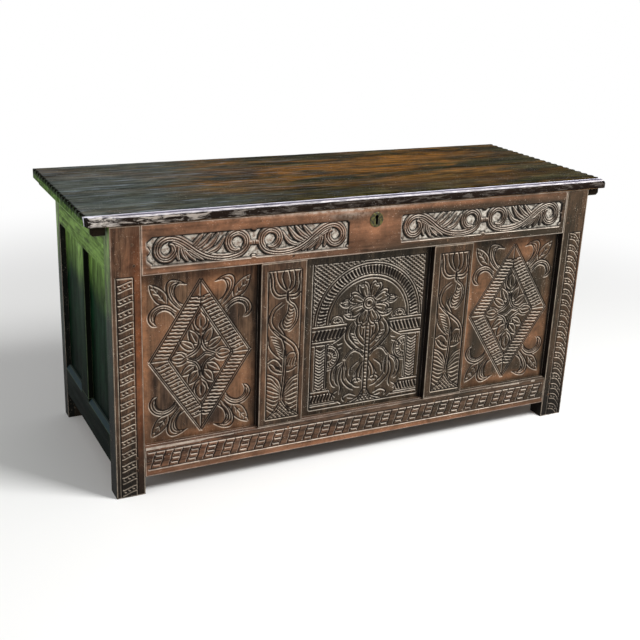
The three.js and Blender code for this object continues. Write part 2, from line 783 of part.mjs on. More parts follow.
function bottomBoard(index) {
  const clear = carcaseLength - 2 * endThickness;
  const pitch = clear / boardCount;
  const left = -clear / 2 + index * pitch;
  const board = block(
    [left + boardGap / 2, left + pitch - boardGap / 2],
    [frontThickness - boardHousing, carcaseDepth],
    [boardLift, boardTop],
  );
  const through = [boardLift - overrun, boardTop + overrun];
  const postNotches = [-1, 1].flatMap((hand) => {
    const across = [hand * (carcaseLength / 2 - postWidth - fit), hand * (carcaseLength / 2 + overrun)];
    return [
      block(across, [-overrun, frontPostDepth + fit], through),
      block(across, [carcaseDepth - rearPostDepth - fit, carcaseDepth + overrun], through),
    ];
  });
  return without(board, postNotches);
}

// Lid. Its boards' underside is at Z 0 and its front edge at Y 0 until it is placed.

function thumbProfile() {
  const shape = new THREE.Shape();
  const quirkBack = thumbWidth + quirkWidth;
  const quirkLevel = lidThickness - quirkDepth;
  const noseLevel = lidThickness - thumbDrop;
  shape.moveTo(lidJoint - fit / 2, 0);
  shape.lineTo(lidJoint - fit / 2, lidThickness);
  shape.lineTo(quirkBack, lidThickness);
  shape.quadraticCurveTo(quirkBack - quirkWidth / 2, quirkLevel - quirkDepth, thumbWidth, quirkLevel);
  const crest = [thumbWidth / 2, quirkLevel + quirkDepth / 2];
  shape.bezierCurveTo(...crest, 0, noseLevel + thumbDrop / 2, 0, noseLevel);
  shape.lineTo(0, lidArris);
  shape.lineTo(lidArris, 0);
  return shape;
}

function rearBoardProfile() {
  return outline([
    [lidJoint + fit / 2, 0],
    [lidDepth - lidArris, 0],
    [lidDepth, lidArris],
    [lidDepth, lidThickness - lidArris],
    [lidDepth - lidArris, lidThickness],
    [lidJoint + fit / 2, lidThickness],
  ]);
}

// A gouge run down across the arris of the lid's end, leaning along it.
function nick(hand, y) {
  const cutter = new THREE.CylinderGeometry(nickRadius, nickRadius, lidThickness, roundSteps / 2);
  const slope = new THREE.Vector3(hand, 0, -1).normalize();
  const outwards = new THREE.Vector3(hand, 0, 1).normalize();
  const lean = new THREE.Quaternion().setFromAxisAngle(outwards, hand * nickLean);
  const turn = lean.multiply(new THREE.Quaternion().setFromUnitVectors(alongY, slope));
  const centre = new THREE.Vector3(hand * lidLength / 2, y, lidThickness);
  centre.addScaledVector(outwards, nickRadius - nickDepth);
  cutter.applyMatrix4(new THREE.Matrix4().makeRotationFromQuaternion(turn).setPosition(centre));
  return solidFrom(cutter);
}

function nicksBetween(low, high) {
  const nicks = [];
  const first = thumbWidth + nickPitch / 2;
  for (let y = first; y < lidDepth - nickPitch / 2; y += nickPitch) {
    if (y > low && y < high) nicks.push(nick(-1, y), nick(1, y));
  }
  return nicks;
}

function lidFrontBoard() {
  const board = prism('x', thumbProfile(), [-lidLength / 2, lidLength / 2]);
  const plateY = stapleCentreY - lidFrontY;
  const letIn = block(
    [stapleX - staplePlateLength / 2 - fit, stapleX + staplePlateLength / 2 + fit],
    [plateY - staplePlateDepth / 2 - fit, plateY + staplePlateDepth / 2 + fit],
    [-overrun, ironThickness + fit],
  );
  return without(board, [letIn, ...nicksBetween(0, lidJoint)]);
}

function lidRearBoard() {
  const board = prism('x', rearBoardProfile(), [-lidLength / 2, lidLength / 2]);
  return without(board, nicksBetween(lidJoint, lidDepth));
}

function cleat(hand) {
  const section = outline([
    [0, 0],
    [hand * (cleatWidth - cleatChamfer), 0],
    [hand * cleatWidth, cleatChamfer],
    [hand * cleatWidth, cleatHeight],
    [0, cleatHeight],
  ]);
  return prism('y', section, [cleatFrontSetback, lidDepth - cleatBackSetback]);
}

// Hinges. The pin's centre is at Y 0 and Z 0, and the middle of the hinge is at X 0. The strap lies
// level with the top of its knuckle, and the leaf hangs down the back of the carcase.

function knuckleBand(halfWidth) {
  const ring = new THREE.Shape();
  ring.absarc(0, 0, knuckleRadius, 0, 2 * Math.PI);
  return prism('x', ring, [-halfWidth, halfWidth]);
}

function pinBore() {
  const radius = pinRadius + fit;
  const bore = new THREE.CylinderGeometry(radius, radius, strapWidth + 2 * overrun, roundSteps);
  bore.rotateZ(Math.PI / 2);
  return solidFrom(bore);
}

function hingeStrap() {
  const middle = knuckleShare * strapWidth / 2;
  const root = knuckleRadius + fit + fit;
  const plan = outline([
    [-middle, 0],
    [-middle, -root],
    [-strapWidth / 2, -root],
    [-strapWidth / 2, -root - strapWidth / 2],
    [-strapEndWidth / 2, -strapLength + 2 * strapTip],
    [-strapTip, -strapLength + strapTip],
    [0, -strapLength],
    [strapTip, -strapLength + strapTip],
    [strapEndWidth / 2, -strapLength + 2 * strapTip],
    [strapWidth / 2, -root - strapWidth / 2],
    [strapWidth / 2, -root],
    [middle, -root],
    [middle, 0],
  ]);
  const plate = prism('z', plan, [knuckleRadius - ironThickness, knuckleRadius]);
  return without(joined([plate, knuckleBand(middle)]), [pinBore()]);
}

function hingeLeaf() {
  const middle = knuckleShare * strapWidth / 2 + fit;
  const half = strapWidth / 2;
  const plan = outline([
    [-half, 0],
    [-half, -leafHeight + half],
    [0, -leafHeight],
    [half, -leafHeight + half],
    [half, 0],
  ]);
  const plate = prism('y', plan, [-knuckleRadius, -knuckleRadius + ironThickness]);
  const strapRoom = block(
    [-middle, middle],
    [-knuckleRadius - overrun, knuckleRadius + overrun],
    [-knuckleRadius - fit, knuckleRadius + overrun],
  );
  return without(joined([plate, knuckleBand(half)]), [strapRoom, pinBore()]);
}

function hingePin() {
  const half = strapWidth / 2 + fit + pinHead;
  const profile = [
    [0, -half],
    [knuckleRadius - pinHead, -half],
    [knuckleRadius - pinHead, -half + pinHead],
    [pinRadius, -half + pinHead],
    [pinRadius, half - pinHead],
    [knuckleRadius - pinHead, half - pinHead],
    [knuckleRadius - pinHead, half],
    [0, half],
  ].map(([r, x]) => new THREE.Vector2(r, x));
  const pin = new THREE.LatheGeometry(profile, roundSteps);
  pin.rotateZ(-Math.PI / 2);
  return solidFrom(pin);
}

// Lock. The plate is let in flush with the back and the top of the rail, and the bolt slides in its
// lugs. Its parts are placed on the rail's own X and Y and on heights from the floor.

const lockBackY = frontThickness - ironThickness;
const boltCentreY = lockBackY - fit - lugMargin - boltThickness / 2;
const stapleCentreY = boltCentreY;
const boltCentreZ = topOfRail - boltDrop;
const stapleX = lockShift + stapleShift;
const boltTipX = stapleX - stapleThickness / 2 - fit - overrun / 2;

function lug(x) {
  const outer = block(
    [x - lugThickness / 2, x + lugThickness / 2],
    [boltCentreY - boltThickness / 2 - lugMargin, lockBackY + ironThickness / 2],
    [boltCentreZ - boltHeight / 2 - lugMargin, boltCentreZ + boltHeight / 2 + lugMargin],
  );
  return without(outer, [block(
    [x - lugThickness, x + lugThickness],
    [boltCentreY - boltThickness / 2 - fit, boltCentreY + boltThickness / 2 + fit],
    [boltCentreZ - boltHeight / 2 - fit, boltCentreZ + boltHeight / 2 + fit],
  )]);
}

function lockPlate() {
  const across = [lockShift - lockPlateWidth / 2, lockShift + lockPlateWidth / 2];
  const flange = [frontThickness - lockPocketDepth, frontThickness];
  const backPlate = block(across, [lockBackY, frontThickness], [topOfRail - lockPlateHeight, topOfRail]);
  const topPlate = block(across, flange, [topOfRail - ironThickness, topOfRail]);
  const slot = block(
    [stapleX - stapleThickness / 2 - slotPlay, stapleX + stapleThickness / 2 + slotPlay],
    [stapleCentreY - stapleDepth / 2 - slotPlay, stapleCentreY + stapleDepth / 2 + slotPlay],
    [topOfRail - ironThickness - overrun, topOfRail + overrun],
  );
  const besideStaple = stapleThickness / 2 + slotPlay + lugThickness / 2;
  const lugs = [
    boltTipX - boltLength + lugThickness + lugThickness,
    stapleX - besideStaple,
    stapleX + besideStaple,
  ].map(lug);
  return without(joined([backPlate, topPlate]), [slot]).add(joined(lugs));
}

function lockBolt() {
  const half = boltHeight / 2;
  const bar = block([-boltLength, 0], [-boltThickness / 2, boltThickness / 2], [-half, half]);
  const talonX = lockShift - boltTipX;
  const talon = block(
    [talonX - boltTravel / 2, talonX + boltTravel / 2],
    [-boltThickness, boltThickness],
    [-boltHeight, -half + boltNotchDepth],
  );
  return bar.subtract(talon);
}

// The staple's plate is let into the lid, and its eye hangs down into the lock.
function lidStaple() {
  const plateHalf = staplePlateLength / 2;
  const depthHalf = staplePlateDepth / 2;
  const plate = block([-plateHalf, plateHalf], [-depthHalf, depthHalf], [0, ironThickness]);
  const loop = block(
    [-stapleThickness / 2, stapleThickness / 2],
    [-stapleDepth / 2, stapleDepth / 2],
    [-stapleLength, ironThickness],
  );
  const eyeCentre = boltCentreZ - lidUnderside;
  const eyeHalf = boltThickness / 2 + fit + fit;
  const eye = block(
    [-stapleThickness, stapleThickness],
    [-eyeHalf, eyeHalf],
    [eyeCentre - stapleEye / 2, eyeCentre + stapleEye / 2],
  );
  return plate.add(loop).subtract(eye);
}

// A shallow dished disc with the keyhole through it, its back at Y 0.
function escutcheon() {
  const profile = [
    [0, 0],
    [escutcheonRadius, 0],
    [escutcheonRadius, escutcheonThickness / 2],
    [escutcheonRadius - escutcheonThickness, escutcheonThickness],
    [escutcheonRadius / 2, escutcheonThickness],
    [0, escutcheonThickness + escutcheonDish],
  ].map(([r, y]) => new THREE.Vector2(r, y));
  const disc = new THREE.LatheGeometry(profile, roundSteps + roundSteps / 2);
  disc.rotateX(Math.PI);
  disc.translate(lockShift, 0, 0);
  return solidFrom(disc).subtract(keyholeCutter(keyholeCentre - escutcheonCentre, [-overrun, overrun]));
}

// Assembly

const chest = new THREE.Group();
chest.position.y = -(lidFrontY + lidBackY) / 2;

const carved = { frame: finishes.carvedOak, panel: finishes.panelOak };
const ends = { frame: finishes.endOak, panel: finishes.endOak };
const plain = { frame: finishes.plainOak, panel: finishes.plainOak };

const frontFrame = addFrame(front, {
  topRail: 'front_top_rail',
  bottomRail: 'front_bottom_rail',
  muntins: ['front_left_muntin', 'front_right_muntin'],
  panels: ['front_left_panel', 'front_centre_panel', 'front_right_panel'],
}, carved, {
  top: [...frontTopCutters(), ...scrollGrounds()],
  bottom: [...frontBottomCutters(), ...railStrip()],
  muntin: tulip(),
  panels: [lozenge(front.sights[0]), archAndFlower(), lozenge(front.sights[2])],
});

const backFrame = addFrame(back, {
  topRail: 'back_top_rail',
  bottomRail: 'back_bottom_rail',
  muntins: ['back_right_muntin', 'back_left_muntin'],
  panels: ['back_right_panel', 'back_centre_panel', 'back_left_panel'],
}, plain, { top: backTopCutters() });
backFrame.rotation.z = Math.PI;
backFrame.position.y = carcaseDepth;

const endFrames = [[1, 'left'], [-1, 'right']].map(([hand, side]) => {
  const panels = [`${side}_rear_panel`, `${side}_front_panel`];
  const frame = addFrame(endSide(hand), {
    topRail: `${side}_top_rail`,
    bottomRail: `${side}_bottom_rail`,
    muntins: [`${side}_muntin`],
    panels: hand > 0 ? panels : panels.reverse(),
  }, ends);
  frame.rotation.z = -hand * Math.PI / 2;
  frame.position.set(-hand * carcaseLength / 2, (frontPostDepth + carcaseDepth - rearPostDepth) / 2, 0);
  return frame;
});

const posts = [[1, 'left'], [-1, 'right']].flatMap(([hand, side]) => {
  const frontPost = without(post(hand, 1, frontPostDepth, front), postStrip(hand));
  const rearPost = post(hand, -1, rearPostDepth, back);
  const x = -hand * carcaseLength / 2;
  return [
    piece(`front_${side}_post`, frontPost, finishes.carvedOak, [x, 0, 0]),
    piece(`rear_${side}_post`, rearPost, finishes.endOak, [x, carcaseDepth, 0]),
  ];
});

const boards = Array.from({ length: boardCount }, (_, i) => (
  piece(`bottom_board_${i + 1}`, bottomBoard(i), finishes.plainOak)
));

const lock = [
  piece('lock_plate', lockPlate(), finishes.iron),
  piece('lock_bolt', lockBolt(), finishes.iron, [boltTipX, boltCentreY, boltCentreZ]),
  piece('escutcheon', escutcheon(), finishes.brass, [0, -fit, escutcheonCentre]),
];

const lid = new THREE.Group();
lid.position.set(0, lidFrontY, lidUnderside);
lid.add(
  piece('lid_front_board', lidFrontBoard(), finishes.lidOak),
  piece('lid_rear_board', lidRearBoard(), finishes.lidOak),
  piece('lid_staple', lidStaple(), finishes.iron, [stapleX, stapleCentreY - lidFrontY, 0]),
);
[[-1, 'left'], [1, 'right']].forEach(([hand, side]) => {
  const at = [hand * (carcaseLength / 2 + cleatGap), 0, -cleatHeight - fit];
  lid.add(piece(`lid_${side}_cleat`, cleat(hand), finishes.endOak, at));
});

[[-1, 'left'], [1, 'right']].forEach(([hand, side]) => {
  const at = [hand * hingeSpread / 2, hingeAxisY, hingeAxisZ];
  chest.add(
    piece(`${side}_hinge_strap`, hingeStrap(), finishes.iron, at),
    piece(`${side}_hinge_leaf`, hingeLeaf(), finishes.iron, at),
    piece(`${side}_hinge_pin`, hingePin(), finishes.iron, at),
  );
});

chest.add(frontFrame, backFrame, ...endFrames, ...posts, ...boards, ...lock, lid);

const coffer = new THREE.Group();
coffer.add(chest);

export default coffer;
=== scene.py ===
"""A joined oak coffer with a carved front and a plank lid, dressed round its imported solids."""
import math

import bmesh
import bpy
import numpy as np
from mathutils import Matrix, Vector, noise


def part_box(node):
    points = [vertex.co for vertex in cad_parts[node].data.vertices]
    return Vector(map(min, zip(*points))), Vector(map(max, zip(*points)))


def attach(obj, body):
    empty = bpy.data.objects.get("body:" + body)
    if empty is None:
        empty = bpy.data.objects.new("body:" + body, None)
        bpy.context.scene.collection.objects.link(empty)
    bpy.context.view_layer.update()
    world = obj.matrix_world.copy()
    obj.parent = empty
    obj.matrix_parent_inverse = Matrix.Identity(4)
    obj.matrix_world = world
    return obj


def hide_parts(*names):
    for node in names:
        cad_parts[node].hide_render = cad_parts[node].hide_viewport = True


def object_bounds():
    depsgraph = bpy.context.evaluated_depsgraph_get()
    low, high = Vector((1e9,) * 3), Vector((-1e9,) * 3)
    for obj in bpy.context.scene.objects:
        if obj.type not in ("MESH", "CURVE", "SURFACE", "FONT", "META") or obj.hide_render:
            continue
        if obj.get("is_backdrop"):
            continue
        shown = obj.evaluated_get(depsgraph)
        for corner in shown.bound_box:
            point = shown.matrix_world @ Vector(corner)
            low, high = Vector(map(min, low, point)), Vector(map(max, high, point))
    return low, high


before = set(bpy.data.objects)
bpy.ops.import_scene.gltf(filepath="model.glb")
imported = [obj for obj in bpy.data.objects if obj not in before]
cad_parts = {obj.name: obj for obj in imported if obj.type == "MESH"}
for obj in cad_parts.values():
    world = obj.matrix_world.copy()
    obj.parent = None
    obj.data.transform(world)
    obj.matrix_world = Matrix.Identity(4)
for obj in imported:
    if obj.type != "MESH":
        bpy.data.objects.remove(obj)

cad_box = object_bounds()

# Floor, lamps and camera
# A pale floor that fades to white away from the chest, one broad soft lamp high at the right in
# front, a weaker one at the left, and a camera that stands to the left of the chest's middle.
floor_reach = 40.0
floor_fade = (1.1, 2.6)
floor_colour = (0.88, 0.88, 0.87, 1)
lamps = (("key", (1.15, -1.75, 2.75), 1.1, 118.0), ("side", (-3.0, -0.4, 1.9), 1.6, 22.0))
lamps_aim = Vector((0, 0, 0.35))
sky_strength = 0.36
camera_place = (-1.2013, -2.3307, 1.2306)
camera_heading, camera_fall, camera_roll = 27.179, 20.001, 2.4656
camera_lens = 57.476


class Step:
    """A number, colour or place on its way through the nodes of a finish."""

    def __init__(self, tree, socket):
        self.tree, self.socket = tree, socket

    def __getitem__(self, name):
        """Another output of the same node."""
        return Step(self.tree, self.socket.node.outputs[name])

    def into(self, socket):
        self.tree.links.new(self.socket, socket)

    def sum(self, operation, *others):
        return add(self.tree, "ShaderNodeMath", dict(enumerate((self, *others))), operation=operation)

    def __add__(self, other):
        return self.sum("ADD", other)

    def __sub__(self, other):
        return self.sum("SUBTRACT", other)

    def __rsub__(self, other):
        return add(self.tree, "ShaderNodeMath", {0: other, 1: self}, operation="SUBTRACT")

    def __mul__(self, other):
        return self.sum("MULTIPLY", other)

    def __truediv__(self, other):
        return self.sum("DIVIDE", other)

    def __gt__(self, other):
        return self.sum("GREATER_THAN", other)

    def __lt__(self, other):
        return self.sum("LESS_THAN", other)

    def __abs__(self):
        return self.sum("ABSOLUTE")

    def most(self, other):
        return self.sum("MAXIMUM", other)

    def ease(self, low, high, floor=0.0, ceiling=1.0):
        """Where it lies between two numbers, eased at both ends."""
        feeds = {"Value": self, "From Min": low, "From Max": high, "To Min": floor, "To Max": ceiling}
        return add(self.tree, "ShaderNodeMapRange", feeds, interpolation_type="SMOOTHSTEP")

    def between(self, first, second):
        """The colour that lies between two others by this share."""
        return add(self.tree, "ShaderNodeMix", {0: self, 6: first, 7: second}, 2, data_type="RGBA")

    def tinted(self, other):
        """This colour multiplied by another."""
        feeds = {0: 1.0, 6: self, 7: other}
        return add(self.tree, "ShaderNodeMix", feeds, 2, data_type="RGBA", blend_type="MULTIPLY")

    def grey(self):
        return add(self.tree, "ShaderNodeCombineColor", dict.fromkeys(range(3), self))

    def split(self):
        return add(self.tree, "ShaderNodeSeparateXYZ", {0: self})

    def cloud(self, scale, detail, **shape):
        """Noise over a place."""
        feeds = {"Vector": self, "Scale": scale, "Detail": detail, **shape}
        return add(self.tree, "ShaderNodeTexNoise", feeds)


def add(tree, kind, feeds=None, out=0, **settings):
    """Adds a node, feeds its inputs with values or earlier steps, and gives one of its outputs."""
    made = tree.nodes.new(kind)
    for key, value in settings.items():
        setattr(made, key, value)
    for key, value in (feeds or {}).items():
        if isinstance(value, Step):
            value.into(made.inputs[key])
        else:
            made.inputs[key].default_value = value
    return Step(tree, made.outputs[out])


def new_finish(name, roughness, gloss):
    """A finish, its shader, and the place of each spot for its patterns."""
    made = bpy.data.materials.new(name)
    made.use_nodes = True
    shader = made.node_tree.nodes["Principled BSDF"]
    shader.inputs["Roughness"].default_value = roughness
    shader.inputs["Specular IOR Level"].default_value = gloss
    return made, shader, add(made.node_tree, "ShaderNodeTexCoord", out="Object")


def seen_directly(tree):
    """1 for what the camera, a mirror or a glass sees, 0 for what lights the object."""
    path = add(tree, "ShaderNodeLightPath")
    return path["Is Camera Ray"].most(path["Is Glossy Ray"]).most(path["Is Transmission Ray"])


def made_mesh(bm, name):
    mesh = bpy.data.meshes.new(name)
    bm.to_mesh(mesh)
    bm.free()
    return mesh


def put_in_scene(name, data):
    made = bpy.data.objects.new(name, data)
    bpy.context.scene.collection.objects.link(made)
    return made


bm = bmesh.new()
bmesh.ops.create_grid(bm, x_segments=8, y_segments=8, size=floor_reach)
floor = put_in_scene("floor", made_mesh(bm, "floor"))
pale_floor, shader, place = new_finish("pale_floor", 0.95, 0.1)
tree = pale_floor.node_tree
shader.inputs["Base Color"].default_value = floor_colour
distance = add(tree, "ShaderNodeVectorMath", {0: place}, "Value", operation="LENGTH")
far = distance.ease(*floor_fade) * seen_directly(tree)
white = add(tree, "ShaderNodeEmission", {"Strength": 1.0})
shown = add(tree, "ShaderNodeMixShader", {0: far, 1: Step(tree, shader.outputs[0]), 2: white})
shown.into(tree.nodes["Material Output"].inputs["Surface"])
floor.data.materials.append(pale_floor)
floor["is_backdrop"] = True

for name, place, size, power in lamps:
    lamp = bpy.data.lights.new(name, "AREA")
    lamp.size, lamp.energy = size, power
    stand = put_in_scene(name, lamp)
    stand.location = place
    stand.rotation_euler = (lamps_aim - Vector(place)).to_track_quat("-Z", "Y").to_euler()

sky = bpy.data.worlds.new("studio")
bpy.context.scene.world = sky
sky.use_nodes = True
background = sky.node_tree.nodes["Background"].inputs
background["Color"].default_value = (1, 1, 1, 1)
seen_directly(sky.node_tree).most(sky_strength).into(background["Strength"])

lens = bpy.data.cameras.new("camera")
lens.sensor_width, lens.lens = 36, camera_lens
camera = put_in_scene("camera", lens)
stance = Matrix.Translation(camera_place)
for angle, axis in ((-camera_heading, "Z"), (90 - camera_fall, "X"), (camera_roll, "Z")):
    stance = stance @ Matrix.Rotation(math.radians(angle), 4, axis)
camera.matrix_world = stance
bpy.context.scene.camera = camera
bpy.context.scene.view_settings.view_transform = "Standard"


# Corner posts
# Four riven oak posts that run down to the floor as feet. Each front post carries a strip of
# cuts, S strokes in pairs with small stabs between, and all arrises are eased by wear.
MM = 0.001
upright, level, crosswise = (0, math.pi / 2, 0), (0, 0, 0), (0, 0, math.pi / 2)
low_dark_fall, green_fall = (0.1, 0.4), (0.41, 0.55)  # the heights between which the ends' painted green reflection darkens towards the floor, and brightens under the lid
recess_floor = 0.6335  # how far out the end panels' faces lie
arris = 1.4
arris_wear = 0.6
rim_wear = 0.45
sheet_inset = 1.6  # from the edge of a board to the carved grid
slip = 0.35  # how far a cut strays from its mark
line_pitch = 2.2  # between the points of a swept line
carve_room = 5.0  # painted highlights fall on the lips that face this way, painted shade on the walls that face away
light_way = (0.5, 0.87)  # dusters catch the lips that face this way
post_strip = 19.0  # half the width of the strip
post_strip_top = 540.0
post_repeats = 17
front_posts = (  # side, seed, middle, the bends of its strokes, its stabs, and how bare it is
    ("left", 11, -619.0, ((-0.14, 0.5), (-0.13, 0.34), (0.0, 0.02), (0.13, -0.34), (0.14, -0.5)),
     (3, 0.3, 5.2), 0.6),
    ("right", 12, 622.0, ((0.33, 0.5), (0.3, 0.2), (0.15, -0.1), (-0.15, -0.35), (-0.45, -0.5)),
     (3, 0.26, 4.6), 0.2))


def tone(red, green, blue):
    """A colour as it is seen, 0 to 255, for a socket that wants it linear."""
    parts = [c / 255 for c in (red, green, blue)]
    return (*[c / 12.92 if c < 0.04045 else ((c + 0.055) / 1.055) ** 2.4 for c in parts], 1.0)


def new_effect(name, takes, gives):
    """A group of nodes that several finishes use, with its inputs and outputs."""
    effect = bpy.data.node_groups.new(name, "ShaderNodeTree")
    kinds = {"f": "NodeSocketFloat", "c": "NodeSocketColor", "v": "NodeSocketVector"}
    for way, sockets in (("INPUT", takes), ("OUTPUT", gives)):
        for label, kind in sockets.items():
            effect.interface.new_socket(label, in_out=way, socket_type=kinds[kind])
    return effect, add(effect, "NodeGroupInput"), effect.nodes.new("NodeGroupOutput").inputs


def make_oak():
    """Old oak: long streaks, fine grain, open pores and broad patches of warmer wood."""
    takes = {"Lie": "v", "Deep": "c", "Body": "c", "Warm": "c", "Warmth": "f", "Open": "f"}
    tree, given, gives = new_effect("old_oak", takes, {"Colour": "c", "Height": "f", "Roughness": "f"})

    def grain(along, across, detail, twist=0.0):
        feeds = {0: given["Lie"], 1: (along, across, across)}
        stretched = add(tree, "ShaderNodeVectorMath", feeds, operation="MULTIPLY")
        return stretched.cloud(1.0, detail, Roughness=0.62, Distortion=twist)

    streaks, fine, pores = grain(2.2, 26, 5, 0.5), grain(9, 170, 3), grain(20, 420, 2)
    patches, mottle = grain(2.4, 6.5, 3, 0.4), grain(18, 44, 4, 0.6)
    colour = streaks.ease(0.36, 0.66).between(given["Deep"], given["Body"])
    colour = (patches.ease(0.46, 0.7) * given["Warmth"]).between(colour, given["Warm"])
    open_pores = pores.ease(0.58, 0.72) * given["Open"]
    shade = fine.ease(0.32, 0.68, -0.34, 0.32) + 1.0 + mottle.ease(0.36, 0.64, -0.36, 0.38)
    colour.tinted((shade - open_pores * 0.45).grey()).into(gives["Colour"])
    (fine * 0.6 - open_pores + streaks).into(gives["Height"])
    streaks.ease(0.3, 0.7, 0.08, -0.06).into(gives["Roughness"])
    return tree


def make_handling():
    """Wear, dust and painted light: rubbed arrises and lips with painted highlights, dirt and painted shade
    in hollows and on shaded faces, dust, bare warm wood and pale flecks.
    """
    takes = {"Colour": "c", "Rubbed_and_lit": "c", "Soot_and_shade": "c", "Dust": "c", "Bare": "c", "Lie": "v"}
    tree, given, gives = new_effect("handling", takes, {"Colour": "c", "Roughness": "f"})

    def mark(name):
        return add(tree, "ShaderNodeAttribute", out="Fac", attribute_name=name)

    broken, grimy = (given["Lie"].cloud(scale, 4.0, Roughness=0.65) for scale in (26.0, 110.0))
    fine = given["Lie"].cloud(330.0, 2.0, Roughness=0.65)
    patchy = broken.ease(0.34, 0.6, 0.5) * grimy.ease(0.3, 0.55, 0.65)
    dusty = grimy.ease(0.36, 0.6, 0.16) * broken.ease(0.32, 0.54, 0.5)
    # Dirt and painted shade in the hollows, and painted shade on the shaded faces
    shaded = mark("hollow_shade").most(mark("shade"))
    # Wear on the arrises and rims, and painted highlights on the lips that face the light
    rubbed_and_lit = mark("rub_and_highlight").most(mark("worn")) * patchy
    flecks = fine.ease(0.62, 0.72, 0.0, 0.36) * broken.ease(0.42, 0.6) * (1.0 - shaded)
    colour = (mark("bare") * patchy).between(given["Colour"], given["Bare"])
    colour = (mark("dust") * dusty).between(colour, given["Dust"])
    colour = (shaded * 0.97).between(colour, given["Soot_and_shade"])
    rubbed_and_lit.most(flecks).between(colour, given["Rubbed_and_lit"]).into(gives["Colour"])
    (mark("hollow_shade") * 0.2 - rubbed_and_lit * 0.08).into(gives["Roughness"])
    return tree


def make_green_reflection():
    """A painted green reflection on the chest's outer ends, bright under the lid and dark towards the
    floor, with painted shade on the sides of their recesses and a painted sky reflection on their low
    ledges.
    """
    tree, given, gives = new_effect("green_reflection", {"Colour": "c", "Place": "v"}, {"Colour": "c"})
    spot = given["Place"].split()
    facing = add(tree, "ShaderNodeTexCoord", out="Normal").split()
    # The painted green reflection lies on the faces that look outwards, bright high up and dark towards the
    # floor
    outward = (facing["X"] * spot["X"]).ease(0.3, 0.5)
    outside = (abs(spot["X"]) > recess_floor) * (spot["Y"] > -0.25) * (spot["Z"] < 0.62)
    height = spot["Z"] + (given["Place"].cloud(9.0, 4.0) - 0.5) * 0.12
    green_light = height.ease(*low_dark_fall).between(tone(11, 31, 27), tone(22, 70, 43))
    green_light = height.ease(*green_fall).between(green_light, tone(196, 255, 132))
    feeds = {"Saturation": 0.15, "Value": 2.2, "Color": given["Colour"]}
    green_lit = add(tree, "ShaderNodeHueSaturation", feeds).tinted(green_light)
    # Painted shade on the sides and undersides of the ends' recesses
    aside_shade = abs(facing["Y"]).most(0.0 - facing["Z"])
    # Painted sky reflection on the low ledges that face up
    ledge_sky = outside * facing["Z"].ease(0.35, 0.6, 0.0, 0.8) * (spot["Z"] < 0.3)
    colour = outward.between(given["Colour"], green_lit)
    colour = (outside * aside_shade.ease(0.35, 0.6)).between(colour, tone(13, 15, 11))
    ledge_sky.between(colour, tone(50, 66, 72)).into(gives["Colour"])
    return tree


old_oak, handling, green_reflection = make_oak(), make_handling(), make_green_reflection()


def set_normals(height, strength, distance, shader):
    feeds = {"Height": height, "Strength": strength, "Distance": distance}
    add(height.tree, "ShaderNodeBump", feeds).into(shader.inputs["Normal"])


def oak_finish(name, lie, deep, body, warm, warmth, rubbed_and_lit, soot_and_shade=(14, 10, 8), dust=(150, 136, 116),
               bare=(150, 84, 44), roughness=0.5, gloss=0.12, bump=0.35, shade=None):
    """One oak finish. Its grain runs the way that lie says, and shade changes the wood's colour."""
    made, shader, place = new_finish(name, roughness, gloss)
    tree = made.node_tree
    board = add(tree, "ShaderNodeAttribute", out="Fac", attribute_name="board")
    moved = add(tree, "ShaderNodeCombineXYZ", dict.fromkeys("XYZ", board))
    moved = add(tree, "ShaderNodeVectorMath", {0: place, 1: moved}, operation="ADD")
    lying = add(tree, "ShaderNodeMapping", {"Vector": moved, "Rotation": lie})
    feeds = {"Lie": lying, "Deep": tone(*deep), "Body": tone(*body), "Warm": tone(*warm),
             "Warmth": warmth, "Open": 0.6}
    wood = add(tree, "ShaderNodeGroup", feeds, node_tree=old_oak)
    feeds = {"Colour": shade(place, wood["Colour"]) if shade else wood["Colour"], "Lie": lying,
             "Rubbed_and_lit": tone(*rubbed_and_lit), "Soot_and_shade": tone(*soot_and_shade), "Dust": tone(*dust), "Bare": tone(*bare)}
    hands = add(tree, "ShaderNodeGroup", feeds, node_tree=handling)
    hands["Colour"].into(shader.inputs["Base Color"])
    (wood["Roughness"] + hands["Roughness"] + roughness).into(shader.inputs["Roughness"])
    set_normals(wood["Height"], bump, 0.0012, shader)
    return made


def shaded_to_right(place, colour):
    """Painted shade: the front turns darker and greyer towards the right."""
    return place.split()["X"].ease(-0.4, 0.3, 0.0, 0.54).between(colour, tone(41, 38, 27))


def green_cast(place, colour):
    """The painted green reflection of the ends, laid over a finish."""
    return add(place.tree, "ShaderNodeGroup", {"Colour": colour, "Place": place}, node_tree=green_reflection)


def post_colours(place, colour):
    """Darker towards the feet, with the front's painted shade towards the right, and the ends' painted
    green reflection on the sides that look outwards.
    """
    foot_dark = place.split()["Z"].ease(0.24, 0.03, 0.0, 0.9)
    return green_cast(place, foot_dark.between(shaded_to_right(place, colour), tone(30, 27, 20)))


post_oak = oak_finish("post_oak", upright, (50, 37, 28), (90, 67, 50), (112, 72, 48), 0.45,
                      (232, 214, 192), shade=post_colours)
bare_oak = oak_finish("bare_oak", level, (104, 80, 56), (142, 112, 80), (150, 108, 68), 0.5,
                      (170, 146, 116), soot_and_shade=(60, 46, 34), roughness=0.72, gloss=0.1)


def merged_copy(node):
    """A solid's own shape, with its flat faces whole again."""
    bm = bmesh.new()
    bm.from_mesh(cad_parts[node].data)
    bmesh.ops.remove_doubles(bm, verts=bm.verts, dist=2e-5)
    bmesh.ops.dissolve_limit(bm, angle_limit=0.004, verts=bm.verts, edges=bm.edges)
    return bm


def arrises(bm, chosen=lambda edge: True):
    """The sharp outer edges."""
    sharp = (e for e in bm.edges if e.is_manifold and e.is_convex and e.calc_face_angle(0) > 0.5)
    return [e for e in sharp if chosen(e)]


